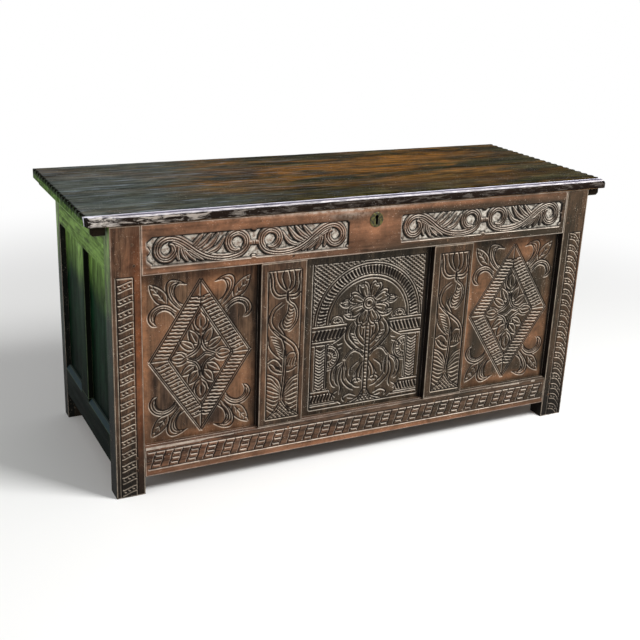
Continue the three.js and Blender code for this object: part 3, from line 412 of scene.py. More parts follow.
def ease_arrises(bm, width=arris, chosen=lambda edge: True):
    """Wears the sharp outer edges round, and marks them as worn."""
    worn = bm.faces.layers.float.new("worn")
    made = bmesh.ops.bevel(bm, geom=arrises(bm, chosen), offset=width * MM, segments=2, profile=0.5,
                           affect="EDGES", material=-1, clamp_overlap=True)
    for f in made["faces"]:
        f[worn] = arris_wear


def shade_faces(bm, ways, strength=1.0):
    """Painted shade on the faces that look these ways, such as reveals and undersides that lie in shadow.
    """
    shade = bm.faces.layers.float.new("shade")
    for f in bm.faces:
        if any(f.normal.dot(Vector(way)) > 0.8 for way in ways):
            f[shade] = strength


def bare_inside(bm, inward):
    """The faces that look into the chest were never polished."""
    for f in bm.faces:
        if f.normal.dot(Vector(inward)) > 0.7:
            f.material_index = 1


def grain_of(node):
    """Each board is cut from another place in the tree."""
    return sum(map(ord, node)) * 0.173 % 7


def set_piece(bm, name, finishes, body, nodes=(), board=0.0, smooth=False):
    """Makes the piece, gives it its finishes and its body, and lets it stand for its solids."""
    mesh = made_mesh(bm, name)
    shift = np.full(len(mesh.vertices), board)
    mesh.attributes.new("board", "FLOAT", "POINT").data.foreach_set("value", shift)
    if smooth:
        mesh.shade_smooth()
    for finish in finishes:
        mesh.materials.append(finish)
    piece = put_in_scene(name, mesh)
    if nodes:
        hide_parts(*nodes)
    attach(piece, body)


def plain_piece(node, finish, inward=None, body="carcase", width=arris, painted_shade=()):
    """A plain board or post: its solid with worn arrises."""
    bm = merged_copy(node)
    ease_arrises(bm, width)
    # Painted shade on the faces that look the ways given
    shade_faces(bm, painted_shade, 0.96)
    if inward:
        bare_inside(bm, inward)
    set_piece(bm, node + "_worn", [finish, bare_oak], body, [node], grain_of(node))


class Face:
    """A board's face as its carver marks it out: heights over ruled lines, in mm from a point on it."""

    def __init__(self, centre, columns, rows, seed, bold):
        self.centre, self.bold = centre, bold  # bold: how much wider than marked its cuts are
        self.x, self.z = np.array(columns), np.array(rows)
        self.ground = np.zeros((len(rows), len(columns)))
        self.cuts, self.dust, self.bare, self.soot_and_shade = (np.zeros_like(self.ground) for _ in range(4))
        self.hand = np.random.default_rng(seed)


def ruled(start, *spans):
    """The places of ruled lines, span by span: where each ends, and its pitch."""
    lines = [start]
    for end, pitch in spans:
        count = max(1, round((end - lines[-1]) / pitch))
        lines += list(np.linspace(lines[-1], end, count + 1)[1:])
    return lines


def face_of(node):
    """A board's outline on its front, in mm: left, right, bottom, top, a little in from its arrises."""
    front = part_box(node)[0].y
    spots = [v.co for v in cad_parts[node].data.vertices if v.co.y < front + 1e-5]
    spots = np.array(spots) / MM
    (left, _, bottom), (right, _, top) = spots.min(0) + sheet_inset, spots.max(0) - sheet_inset
    return left, right, bottom, top


def board_face(node, middle, pitch, seed, bold):
    left, right, bottom, top = face_of(node)
    columns = ruled(left - middle, (right - middle, pitch))
    return Face((middle, 0), columns, ruled(bottom, (top, pitch)), seed, bold)


def sweep(marks):
    """A smooth line through a few marks. A line that is already swept stays as it is."""
    if isinstance(marks, np.ndarray):
        return marks
    marks = np.array(marks, float)
    if len(marks) == 2:
        return marks
    marks = np.vstack([2 * marks[:1] - marks[1:2], marks, 2 * marks[-1:] - marks[-2:-1]])
    spans = []
    for a, b, c, d in zip(marks, marks[1:], marks[2:], marks[3:]):
        count = max(2, int(np.hypot(*(c - b)) / line_pitch))
        t = np.linspace(0, 1, count, endpoint=False)[:, None]
        spans.append(0.5 * (2 * b + (c - a) * t + (2 * a - 5 * b + 4 * c - d) * t**2
                            + (3 * b - a - 3 * c + d) * t**3))
    return np.vstack(spans + [marks[-2:-1]])


def near(face, line, reach):
    """The patch of a face within reach of a line, how far its spots lie from it, and how far along."""
    low, high = line.min(0) - reach, line.max(0) + reach
    cols = slice(*np.searchsorted(face.x, (low[0], high[0])))
    rows = slice(*np.searchsorted(face.z, (low[1], high[1])))
    x, z = np.meshgrid(face.x[cols], face.z[rows])
    away, along, gone = np.full(x.shape, 1e9), np.zeros(x.shape), 0.0
    for a, b in zip(line, line[1:]):
        run = b - a
        length = max(float(np.hypot(*run)), 1e-9)
        t = np.clip(((x - a[0]) * run[0] + (z - a[1]) * run[1]) / length**2, 0, 1)
        distance = np.hypot(x - a[0] - t * run[0], z - a[1] - t * run[1])
        closer = distance < away
        away = np.where(closer, distance, away)
        along = np.where(closer, gone + t * length, along)
        gone += length
    return rows, cols, away, along / gone


def girth(along, width, run_out):
    """Half the width of a stroke, which narrows over a share of its length at each end."""
    start, end = (max(share, 1e-3) for share in run_out)
    return width / 2 * np.sqrt(np.clip(along / start, 0, 1) * np.clip((1 - along) / end, 0, 1)) + 1e-6


def cut(face, marks, width, depth, run_out, roundness):
    line = sweep(marks) + face.hand.normal(0, slip, 2)
    rows, cols, away, along = near(face, line, width / 2)
    half = girth(along, width, run_out)
    floor = -depth * np.clip(1 - (away / half) ** roundness, 0, 1) * half / (width / 2)
    face.cuts[rows, cols] = np.minimum(face.cuts[rows, cols], floor)


def vee(face, marks, width=4.0, depth=2.3, run_out=(0.12, 0.12)):
    """A cut with the V tool."""
    cut(face, marks, width * face.bold, depth, run_out, 1)


def ladder(face, start, end, width, repeats, shape, size, half_gap, stabs):
    """Pairs of bent strokes across a strip, with a few stabs between the two of each pair."""
    start, end = np.array(start, float), np.array(end, float)
    pitch = float(np.hypot(*(end - start))) / repeats
    ahead = (end - start) / np.hypot(*(end - start))
    across = np.array((-ahead[1], ahead[0]))
    count, long, wide = stabs
    for k in range(repeats):
        middle = (k + 0.5) * pitch
        for side in (-half_gap, half_gap):
            stroke = [start + ahead * (middle + (side + u) * pitch) + across * v * width
                      for u, v in shape]
            vee(face, stroke, size, 2.1, (0.05, 0.05))
        for b in range(count):
            v = 1.15 * (0.5 - (b + 1) / (count + 1))
            u = np.interp(-v, [-w for _, w in shape], [q for q, _ in shape])
            spot = start + ahead * (middle + u * pitch) + across * v * width
            reach = ahead * (long * pitch - wide) / 2
            vee(face, [spot - reach, spot + reach], wide, 2.3, (0.02, 0.02))


def patch(face, marks, *spots):
    """Soft patches of bare wood, dust or darkening: each one's middle, reach both ways and strength."""
    for x, z, wide, high, strength in spots:
        across, up = np.meshgrid((face.x - x) / wide, (face.z - z) / high)
        np.maximum(marks, strength * np.exp(-(across**2 + up**2)), out=marks)


def wander(face, pitch, amount):
    """The slight unevenness that hand tools leave."""
    places = [(lines - lines[0]) / pitch for lines in (face.z, face.x)]
    lattice = face.hand.normal(0, amount, [int(p[-1]) + 3 for p in places])
    (i, u), (j, v) = [(p.astype(int), (p % 1) ** 2 * (3 - 2 * (p % 1))) for p in places]
    u, v = u[:, None], v[None, :]
    near_row = lattice[np.ix_(i, j)] * (1 - v) + lattice[np.ix_(i, j + 1)] * v
    far_row = lattice[np.ix_(i + 1, j)] * (1 - v) + lattice[np.ix_(i + 1, j + 1)] * v
    return near_row * (1 - u) + far_row * u


def highest(heights, reach):
    """The highest of each spot's neighbours."""
    for axis in (0, 1):
        heights = np.maximum.reduce([np.roll(heights, k, axis) for k in range(-reach, reach + 1)])
    return heights


def carved_sheet(face, front):
    """The carved face as a fine sheet, with the marks that its finish reads: wear, dust, bare wood, painted
    highlights and painted shade.
    """
    relief = face.ground + face.cuts
    rise, run = np.gradient(relief, face.z, face.x)
    facing = -(light_way[0] * run + light_way[1] * rise)
    below = highest(relief, 2) - relief
    # Painted highlight on the lips that face the light, fading where the cut drops away
    rub_and_highlight = np.clip(2.0 * facing, 0, 1) * np.clip(1.12 - below / 0.95, 0, 1) * (1 - 0.6 * face.soot_and_shade)
    # Dirt and painted shade in the cuts, less on the walls that face the light
    hollow_shade = np.clip((below - 0.15) / 0.6, 0, 1) * (1 - 0.5 * np.clip(1.6 * facing, 0, 1))
    heights = relief + wander(face, 14, 0.16) + wander(face, 60, 0.25)
    for rim in (np.s_[0, :], np.s_[-1, :], np.s_[:, 0], np.s_[:, -1]):
        heights[rim] = 0
        rub_and_highlight[rim] = rim_wear
    bm = bmesh.new()
    bmesh.ops.create_grid(bm, x_segments=len(face.x) - 1, y_segments=len(face.z) - 1, size=1)
    mesh = made_mesh(bm, "sheet")
    places = np.empty(len(mesh.vertices) * 3, np.float32)
    mesh.vertices.foreach_get("co", places)
    places = places.reshape(-1, 3)
    i, j = (np.rint((places[:, axis] + 1) / 2 * (len(lines) - 1)).astype(int)
            for axis, lines in enumerate((face.x, face.z)))
    places[:, 0] = (face.x[i] + face.centre[0]) * MM
    places[:, 1] = front - heights[j, i] * MM
    places[:, 2] = (face.z[j] + face.centre[1]) * MM
    mesh.vertices.foreach_set("co", places.ravel())
    marks = {"rub_and_highlight": rub_and_highlight, "hollow_shade": np.maximum(hollow_shade, face.soot_and_shade), "dust": face.dust, "bare": face.bare}
    for name, values in marks.items():
        layer = mesh.attributes.new(name, "FLOAT", "POINT")
        layer.data.foreach_set("value", values[j, i].astype(np.float32))
    return mesh


def carved_piece(node, face, finish, painted_shade=(), drop=0.9, hole=None):
    """A carved board: its solid, with the flat front taken off and the carved sheet let in."""
    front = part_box(node)[0].y
    behind = front + carve_room * MM
    bm = merged_copy(node)
    flat_front = [f for f in bm.faces if all(v.co.y < behind for v in f.verts)]
    bmesh.ops.delete(bm, geom=flat_front, context="FACES")
    ease_arrises(bm, 1.0, lambda e: min(v.co.y for v in e.verts) > behind)
    old = set(bm.edges)
    for v in {v for e in old if e.is_boundary for v in e.verts}:
        v.co.y = front + drop * MM
    bare_inside(bm, (0, 1, 0))
    # Painted shade on the faces that look the ways given, such as the sides of the panel recesses
    shade_faces(bm, painted_shade)
    sheet = carved_sheet(face, front)
    bm.from_mesh(sheet)
    bpy.data.meshes.remove(sheet)

    def in_hole(spot, wide, high):
        return bool(hole) and abs(spot.x / MM - hole[0]) < wide and abs(spot.z / MM - hole[1]) < high

    if hole:
        inside = [f for f in bm.faces if in_hole(f.calc_center_median(), *hole[2:])
                  and f.calc_center_median().y < front + 2e-4 and not old.intersection(f.edges)]
        bmesh.ops.delete(bm, geom=inside, context="FACES")
    rims = [], []
    for e in bm.edges:
        if e.is_boundary:
            rims[in_hole((e.verts[0].co + e.verts[1].co) / 2, 30, 30)].append(e)
    for rim in filter(None, rims):
        bmesh.ops.triangle_fill(bm, edges=rim, use_beauty=False, normal=(0, -1, 0))
    # Painted shade over the whole keyhole
    shade = bm.faces.layers.float["shade"]
    for f in bm.faces:
        if hole and in_hole(f.calc_center_median(), *hole[2:]):
            f[shade] = 1.0
    bmesh.ops.recalc_face_normals(bm, faces=bm.faces)
    for f in bm.faces:
        f.smooth = len(f.verts) == 4 and f.calc_area() < 3e-5
    set_piece(bm, node + "_carved", [finish, bare_oak], "carcase", [node], grain_of(node))


for side, seed, middle, waves, stabs, bare in front_posts:
    node = f"front_{side}_post"
    face = board_face(node, middle, 1.35, seed, 1.15)
    for edge in (-post_strip, post_strip):
        vee(face, [(edge, face.z[0]), (edge + 0.5, 300), (edge, post_strip_top)], 3.4, 2.4, (0, 0))
    vee(face, [(-post_strip, post_strip_top), (post_strip, post_strip_top)], 3.4, 2.2, (0, 0))
    ladder(face, (0, 4), (0, post_strip_top - 4), 2 * post_strip - 3, post_repeats,
           waves, 3.0, 0.24, stabs)
    patch(face, face.bare, (28, 330, 9, 230, bare))
    # Darker towards the foot
    patch(face, face.soot_and_shade, (0, 0, 400, 110, 0.8))
    # Painted shade on the post's side in the panel recess
    carved_piece(node, face, post_oak, [(-math.copysign(1, middle), 0, 0)])
for node in ("rear_left_post", "rear_right_post"):
    plain_piece(node, post_oak)


# Front rails
# The top rail has two sunk grounds with scrolls left standing in them, and the keyhole between.
# The bottom rail has a long strip of S cuts. Both are tenoned into the posts and pegged.
ground_depth = 4.2
scroll_spans = ((-569.0, -69.0, 558.0, 627.0), (75.0, 568.0, 560.0, 629.0))
scroll_marks = ((-521.5, 594.0), (113.6, 597.0))  # the first eye of each
scroll_reach = 206.5  # from the first eye to the middle of the pair
scroll_width, scroll_groove = 15.0, 2.7  # the band, and its two grooves' distance from its middle
scroll_band = [
    (6, 13), (15, 8), (18, -3), (12, -14), (2, -21), (-13, -19), (-23, -6), (-22, 9), (-11, 22), (6, 27),
    (27, 22), (49, 8), (71, -9), (95, -22), (122, -28), (150, -28), (176, -20), (189, -3), (186, 16),
    (169, 27), (150, 21), (143, 6), (149, -9), (160, -15), (172, -12)]
scroll_sprays = (  # the width of each, and its marks
    (7, (8, 17), (28, 7), (46, -5)), (9, (24, 8), (23, -8), (27, -26)),
    (10, (33, 3), (38, -14), (49, -31)), (10, (42, -3), (53, -16), (67, -30)),
    (8, (48, -6), (62, -17), (84, -31)), (9, (58, 2), (70, 14), (83, 30)),
    (10, (68, -2), (86, 10), (103, 30)), (10, (80, -9), (102, 4), (121, 29)),
    (8, (94, -16), (118, -6), (136, 20)))
rail_bare = ((3, 610, 66, 40, 0.7), (-577, 600, 12, 60, 0.5), (-150, 650, 600, 8, 0.75),
             (-380, 549, 240, 7, 0.6), (-340, 638, 230, 12, 0.6))
rail_dust = ((-90, 653, 170, 4.5, 0.9), (-70, 642, 60, 10, 0.3))
keyhole = (3, 623, 9, 14.5)  # its middle, and the reach of the hole in the carved sheet
bottom_strip = (63.0, 107.0)
bottom_repeats = 26

# The rails take the front's painted shade towards the right
rail_oak = oak_finish("rail_oak", level, (52, 39, 30), (102, 75, 58), (126, 80, 54), 0.5,
                      (242, 226, 208), dust=(192, 185, 173), bare=(166, 114, 82), shade=shaded_to_right)


def sink(face, left, right, bottom, top):
    """Lowers a ground inside its outline, with steep walls."""
    x, z = np.meshgrid(face.x, face.z)
    inside = np.minimum.reduce([x - left, right - x, z - bottom, top - z])
    face.ground -= ground_depth * np.clip(inside / 1.6, 0, 1)
    face.dust = np.maximum(face.dust, np.clip((inside - 0.8) / 1.2, 0, 1))


def stand(face, marks, width, run_out=(0.1, 0.1), crown=0.5):
    """Leaves a band standing in a sunk ground, a little rounded."""
    line = sweep(marks) + face.hand.normal(0, slip, 2)
    rows, cols, away, along = near(face, line, width / 2 + 3)
    half = girth(along, width, run_out)
    height = -crown * np.minimum(away / half, 1) ** 2 - np.clip(away - half, 0, None) * 2.6
    face.ground[rows, cols] = np.maximum(face.ground[rows, cols], height)
    clean = np.clip((half + 0.6 - away) / 0.8, 0, 1)
    face.dust[rows, cols] = np.minimum(face.dust[rows, cols], 1 - clean)


def beside(line, away):
    """A line moved to one side of itself."""
    run = np.gradient(line, axis=0)
    side = np.column_stack([-run[:, 1], run[:, 0]]) / np.maximum(np.hypot(*run.T), 1e-9)[:, None]
    return line + away * side


def scroll_unit(face, place):
    """Half of a scroll: the band from one eye to the next, and the sprays that grow from it."""
    for width, *marks in scroll_sprays:
        spray = [place(*m) for m in marks]
        stand(face, spray, width, (0.15, 0.55))
        vee(face, spray, 3.0, 1.8, (0.05, 0.6))
    band = sweep([place(*m) for m in scroll_band])
    stand(face, band, scroll_width, (0.03, 0.05), 0.9)
    for away in (-scroll_groove, scroll_groove):
        vee(face, beside(band, away), 3.1, 2.2, (0.03, 0.06))
    stand(face, [place(-54, 0), place(-40, 0)], 19, (0, 0.5))
    for high in (34, -34):
        stand(face, [place(-58, high * 0.6), place(-38, high * 1.1)], 13, (0, 0))


def scroll_pair(face, ground, first):
    """A sunk ground with two scrolls, the second the first turned over, tied in the middle."""
    sink(face, *ground)
    ox, oz = first
    middle = ox + scroll_reach
    scroll_unit(face, lambda u, w: (ox + u, oz + w))
    scroll_unit(face, lambda u, w: (ox + 2 * scroll_reach - u, oz + w))
    stand(face, [(middle - 16, oz), (middle + 16, oz)], 9, (0.05, 0.05))
    for u in (-3, 3):
        vee(face, [(middle + u, oz - 5), (middle + u, oz + 5)], 2.6, 1.6)
    for edge, way in ((ground[2], 1), (ground[3], -1)):
        stand(face, [(middle - 7, edge), (middle + 7, edge)], 11, (0.3, 0.3))
        bow = [(middle + u, edge + way * w) for u, w in ((-8, 1), (-4, 5), (4, 5), (8, 1))]
        vee(face, bow, 2.6, 1.8)


def swayed(amount):
    """An S stroke across a strip."""
    turns = ((1, 0.5), (0.7, 0.34), (0.08, 0.1), (-0.08, -0.1), (-0.7, -0.34), (-1, -0.5))
    return [(amount * u, v) for u, v in turns]


left, right, bottom, top = face_of("front_top_rail")
x = ruled(left, (-571, 3), (-67, 1.15), (73, 3), (570, 1.15), (right, 3))
face = Face((0, 0), x, ruled(bottom, (556, 1.8), (631, 1.15), (top, 1.8)), 21, 1.1)
for ground, first in zip(scroll_spans, scroll_marks):
    scroll_pair(face, ground, first)
patch(face, face.bare, *rail_bare)
patch(face, face.dust, *rail_dust)
# Painted shade on the rail's underside
carved_piece("front_top_rail", face, rail_oak, [(0, 0, -1)], hole=keyhole)

left, right, bottom, top = face_of("front_bottom_rail")
face = Face((0, 0), ruled(left, (right, 1.45)), ruled(bottom, (top, 1.35)), 22, 1.15)
for height in bottom_strip:
    marks = [(left + 6, height), (-200, height + 0.8), (250, height - 0.6), (right - 6, height)]
    vee(face, marks, 3.4, 2.3, (0, 0))
low, high = bottom_strip
start, end = ((x, (low + high) / 2) for x in (left + 8, right - 8))
ladder(face, start, end, high - low - 3, bottom_repeats, swayed(0.16), 3.6, 0.27, (3, 0.46, 4.2))
patch(face, face.bare, (20, 50, 480, 10, 0.7))
carved_piece("front_bottom_rail", face, rail_oak)


# Front muntins
# Two wide uprights between the panels, each with a tulip on a winding stem inside a cut frame,
# its leaves veined with single strokes, on a small hatched mound.
muntins = (("front_left_muntin", -233.6, 31), ("front_right_muntin", 241.4, 32))
muntin_frame = (-43.0, 43.0, 139.0, 519.0)
tulip_petals = (
    [(5, 454), (-19, 454), (-33, 470), (-37, 497), (-40, 518)],
    [(6, 459), (-16, 461), (-27, 476), (-29, 498), (-34, 518)],
    [(5, 467), (-10, 481), (-19, 498), (-22, 518)], [(6, 470), (-2, 486), (-7, 504), (-3, 518)],
    [(9, 470), (15, 486), (12, 504), (8, 518)], [(10, 463), (23, 475), (27, 495), (23, 518)],
    [(10, 458), (30, 461), (38, 481), (36, 505), (41, 518)], [(12, 451), (30, 451), (42, 463)])
upper_veins, lower_veins = (3.0, 2.0, (0.1, 0.5)), (3.2, 2.1, (0.1, 0.4))
mound_pitch, mound_depth, mound_cut = 8, 1.6, 2.6


def outline(face, left, right, bottom, top):
    """A cut rectangle."""
    corners = [(left, bottom), (right, bottom), (right, top), (left, top)]
    for a, b in zip(corners, corners[1:] + corners[:1]):
        vee(face, [a, b], 3.4, 2.4, (0, 0))


def off_lines(x, z, slopes, pitch, phase):
    """How far spots lie from the nearest of several sets of sloping lines."""
    steps = ((x * slope + z) / math.sqrt(1 + slope**2) / pitch + phase for slope in slopes)
    return np.minimum.reduce([np.abs(step % 1 - 0.5) for step in steps]) * pitch


def mound(face):
    """Crossed V cuts on the ground that the stem grows from."""
    x, z = np.meshgrid(face.x, face.z)
    inside = (z > 140) & (z < 181 - 1.06 * np.abs(x + 4))
    away = off_lines(x, z, (1, -1), mound_pitch, 0)
    face.cuts = np.minimum(face.cuts, -mound_depth * np.clip(1 - away / (mound_cut / 2), 0, 1) * inside)


def twin(face, marks, gap=4.2, width=3.2, depth=2.1, run_out=(0.06, 0.06)):
    """Two V cuts side by side, with a thin ridge left between them."""
    for hand in (-0.5, 0.5):
        vee(face, beside(sweep(marks), hand * gap), width, depth, run_out)


def comb(face, count, marks, steps, *size, tool=vee):
    """Like strokes in a row. Each mark moves on by its own step, or all by one."""
    for k in range(count):
        tool(face, list(np.array(marks) + k * np.array(steps)), *size)


def tulip_muntin(face):
    outline(face, *muntin_frame)
    for marks in tulip_petals:
        vee(face, marks, 4.0, 2.4, (0.08, 0.05))
    vee(face, [(7, 440), (7, 455), (8, 470)], 6.0, 2.6, (0.3, 0.3))
    twin(face, [(10, 451), (14, 440), (27, 429), (34, 410), (31, 389), (19, 372), (9, 367)], 5.0)
    vee(face, [(11, 437), (9, 414), (-1, 398), (-4, 385), (2, 370)], 3.4, 2.2)
    comb(face, 7, [(26, 424), (18, 420), (12, 427)], [(-1.2, -8), (-2.4, -8), (-2.6, -8)], *upper_veins)
    twin(face, [(-2, 440), (-25, 424), (-35, 404), (-32, 383), (-14, 361), (8, 344), (28, 326), (38, 305),
                (40, 279)], 8.0, 3.6, 2.4)
    vee(face, [(-6, 397), (-13, 383), (-5, 370), (6, 352)], 3.6, 2.2)
    vee(face, [(-38, 378), (-19, 367), (-3, 345), (5, 317), (4, 289)], 3.8, 2.4)
    vee(face, [(-40, 360), (-37, 333), (-26, 314), (-7, 295)], 3.6, 2.2)
    comb(face, 8, [(-35, 358), (-26, 357), (-15, 350)], [(3.4, -7.4), (3.3, -8.4), (2.4, -8)],
         *upper_veins)
    vee(face, [(-43, 289), (-26, 298), (-12, 291), (-2, 276)], 3.8, 2.3)
    vee(face, [(-39, 286), (-30, 270), (-15, 259), (1, 256)], 3.8, 2.3)
    comb(face, 4, [(-33, 286), (-25, 281), (-17, 268)], [(6, -3), (6, -5), (5, -2)], 2.8, 1.9)
    vee(face, [(6, 296), (18, 309), (37, 307)], 3.8, 2.3)
    vee(face, [(7, 262), (24, 264), (38, 273)], 3.8, 2.3)
    comb(face, 4, [(10, 275), (13, 286), (20, 297)], [(7, -1), (7, 0), (6, 0)], 2.8, 1.9)
    twin(face, [(5, 318), (5, 279), (3, 245), (0, 214), (-3, 190)], 6.0, 3.4, 2.4)
    vee(face, [(-43, 262), (-26, 254), (-10, 239), (-3, 218)], 3.8, 2.4)
    comb(face, 9, [(-42, 252), (-27, 246), (-7, 219)], [(0, -10.5), (1, -11.5), (0, -5.4)], *lower_veins)
    vee(face, [(42, 250), (22, 241), (8, 224), (1, 198)], 3.8, 2.4)
    comb(face, 8, [(41, 240), (26, 236), (4, 212)], [(0, -11.5), (-1, -12), (1, -5.8)], *lower_veins)
    vee(face, [(-43, 140), (-22, 160), (-5, 186)], 3.6, 2.4)
    twin(face, [(-3, 186), (14, 162), (43, 141)], 5.0, 3.4, 2.3)
    mound(face)


for node, middle, seed in muntins:
    face = board_face(node, middle, 1.3, seed, 1.25)
    tulip_muntin(face)
    # Painted shade on the muntin's sides in the panel recesses
    carved_piece(node, face, post_oak, [(-1, 0, 0), (1, 0, 0)])


# Side panels
# Feather-edged oak panels, held loose in grooves. Each carries a big lozenge with a strip of S
# cuts between two double lines, leaves and buds inside it, and a spray at every corner.
# Each panel: its name, its mark, its seed, and how far its painted shadow reaches in from the right
side_panels = (("front_left_panel", (-436.6, 324.7), 41, 4.6),
               ("front_right_panel", (441.0, 329.0), 42, 8.0))
panel_width, panel_span, panel_lap = 286, (122.0, 540.0), 0.6  # what shows, and how far it runs under
lozenge_out, lozenge_in = (124.7, 189.7), (78.0, 125.7)
lozenge_strip = (30.0, 9)  # its width, and the pairs of cuts on each side
lozenge_cuts = ((swayed(0.2), 3.8, 0.26, (2, 0.3, 4.2)), (swayed(-0.4), 4.2, 0.25, (0, 0, 0)))
flower_leaves = (((8, 31), (29, 70), 21), ((15, 20), (54, 45), 19), ((38, 2), (77, 3), 20),
                 ((14, -19), (50, -43), 20), ((7, -34), (32, -68), 21))
flower_buds = ((4.0, 2.3, (2, 56), (15, 68), (21, 86)),
               (4.0, 2.3, (4, 66), (13, 80), (11, 96), (0, 110)))
flower_ribs = ((3.8, 2.2, (34, 10), (46, 17), (60, 18)), (3.8, 2.2, (34, -7), (46, -14), (60, -15)))
corner_sprays = (  # the width and depth of each cut, and its marks
    (3.8, 2.4, (-49, 120), (-66, 137), (-80, 158), (-83, 180), (-74, 193), (-56, 192), (-32, 180)),
    (3.8, 2.4, (-32, 180), (-50, 184), (-60, 178), (-64, 163), (-56, 143), (-40, 131)),
    (3.8, 2.4, (-58, 117), (-75, 132), (-92, 137), (-112, 131), (-124, 117), (-126, 103), (-118, 90),
     (-105, 86)),
    (3.8, 2.4, (-105, 86), (-112, 96), (-111, 108), (-104, 119), (-88, 124), (-72, 116), (-61, 101)),
    (3.0, 1.8, (-52, 127), (-68, 146), (-75, 164), (-74, 179), (-64, 187), (-48, 186)),
    (3.0, 1.8, (-46, 127), (-60, 146), (-69, 164), (-67, 177), (-56, 184), (-44, 184)),
    (3.0, 1.8, (-60, 112), (-76, 126), (-93, 131), (-109, 126), (-118, 115), (-119, 103), (-112, 93)),
    (3.0, 1.8, (-60, 107), (-76, 121), (-93, 126), (-107, 121), (-114, 110), (-114, 101)))
# How far the painted shadow reaches down from the rail
margin_shadow = 2.0
panel_bare = ((-138, 20, 14, 220, 0.95), (40, 178, 48, 28, 0.75), (95, -75, 42, 60, 0.5),
              (-98, 72, 36, 60, 0.45), (20, -192, 120, 12, 0.5))

# The side panels take the front's painted shade towards the right
panel_oak = oak_finish("panel_oak", upright, (50, 38, 30), (88, 67, 50), (118, 76, 50), 0.6,
                       (240, 224, 204), bare=(164, 114, 80), shade=shaded_to_right)


def mirrored(marks, x=1, z=1):
    return [(x * u, z * w) for u, w in marks]


def strokes(face, table, x=1, z=1):
    """V cuts from a table of widths, depths and marks."""
    for width, depth, *marks in table:
        vee(face, mirrored(marks, x, z), width, depth)


def leaf(face, base, tip, width, veins=0, inner=True):
    """A pointed leaf, outlined once or twice, with a rib and side veins."""
    base, tip = np.array(base, float), np.array(tip, float)
    spine = tip - base
    side = np.array((-spine[1], spine[0])) / np.hypot(*spine) * width / 2
    for inset in ((0.0, 0.42) if inner else (0.0,)):
        for hand in (-1, 1):
            belly = base + spine * (0.28 + 0.1 * inset) + hand * side * (1 - inset)
            shoulder = base + spine * 0.66 + hand * side * 0.86 * (1 - inset)
            vee(face, [base + spine * 0.35 * inset, belly, shoulder, tip - spine * 0.4 * inset], 3.4, 2.1)
    vee(face, [base + spine * 0.12, base + spine * 0.8], 3.2, 2.0, (0.1, 0.7))
    for k in range(veins):
        root = base + spine * (0.25 + 0.5 * k / max(veins - 1, 1))
        for hand in (-1, 1):
            vee(face, [root, root + spine * 0.16 + hand * side * 0.55], 2.6, 1.6, (0.1, 0.6))


def lozenge(face):
    """Two double lines round the panel's middle, with strips of S cuts between them."""
    outer, inner = (np.array([(w, 0), (0, h), (-w, 0), (0, -h)]) for w, h in (lozenge_out, lozenge_in))
    middle = (outer + inner) / 2
    for k in range(4):
        for tips in (outer, inner):
            twin(face, [tips[k], tips[k - 3]], 4.4, 3.2, 2.2, (0, 0))
        run = (middle[k - 3] - middle[k]) * 0.04
        ladder(face, middle[k] + run, middle[k - 3] - run, *lozenge_strip, *lozenge_cuts[k % 2])
        vee(face, [inner[k] * 0.985, outer[k] * 0.985], 3.0, 1.8, (0, 0))


def lozenge_flower(face):
    """Ten leaves and two buds round a small knot."""
    for x in (1, -1):
        for base, tip, width in flower_leaves:
            leaf(face, *mirrored((base, tip), x), width, inner=False)
        for z in (1, -1):
            twin(face, mirrored([(0, 52), (4, 30), (14, 14), (36, 3)], x, z), 5.4, 3.6, 2.3)
            strokes(face, flower_buds, x, z)
            vee(face, [(0, 72 * z), (0, 98 * z)], 4.0, 2.2, (0.2, 0.4))
        strokes(face, flower_ribs, x)
    twin(face, [(-30, -2), (-12, -7), (0, 0), (12, 7), (30, 2)], 5.0, 3.4, 2.2)


def panel_face(node, mark, width, pitch, seed, bold):
    """The face of a feathered panel, as far as it shows in its frame."""
    low, high = (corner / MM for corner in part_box(node))
    middle, half = (low.x + high.x) / 2, width / 2 + panel_lap
    columns = ruled(middle - half - mark[0], (middle + half - mark[0], pitch))
    bottom, top = panel_span[0] - panel_lap - mark[1], panel_span[1] + panel_lap - mark[1]
    return Face(mark, columns, ruled(bottom, (top, pitch)), seed, bold)


def shadow_margins(face, right):
    """Painted shadow where a frame shades its panel, at the right and under the rail."""
    x, z = np.meshgrid(face.x, face.z)
    inside = np.minimum((face.x[-1] - x) / right, (face.z[-1] - z) / margin_shadow)
    face.soot_and_shade = np.maximum(face.soot_and_shade, np.clip(1.6 - inside, 0, 1))


for node, mark, seed, painted_shade in side_panels:
    face = panel_face(node, mark, panel_width, 1.22, seed, 1.28)
    lozenge(face)
    lozenge_flower(face)
    for sx, sz in ((1, 1), (-1, 1), (1, -1), (-1, -1)):
        leaf(face, *mirrored(((-80, 136), (-122.5, 189)), sx, sz), 27, 3, False)
        strokes(face, corner_sprays, sx, sz)
    patch(face, face.bare, *panel_bare)
    # Painted shadow along the panel's right and top margins
    shadow_margins(face, painted_shade)
    carved_piece(node, face, panel_oak, drop=0)


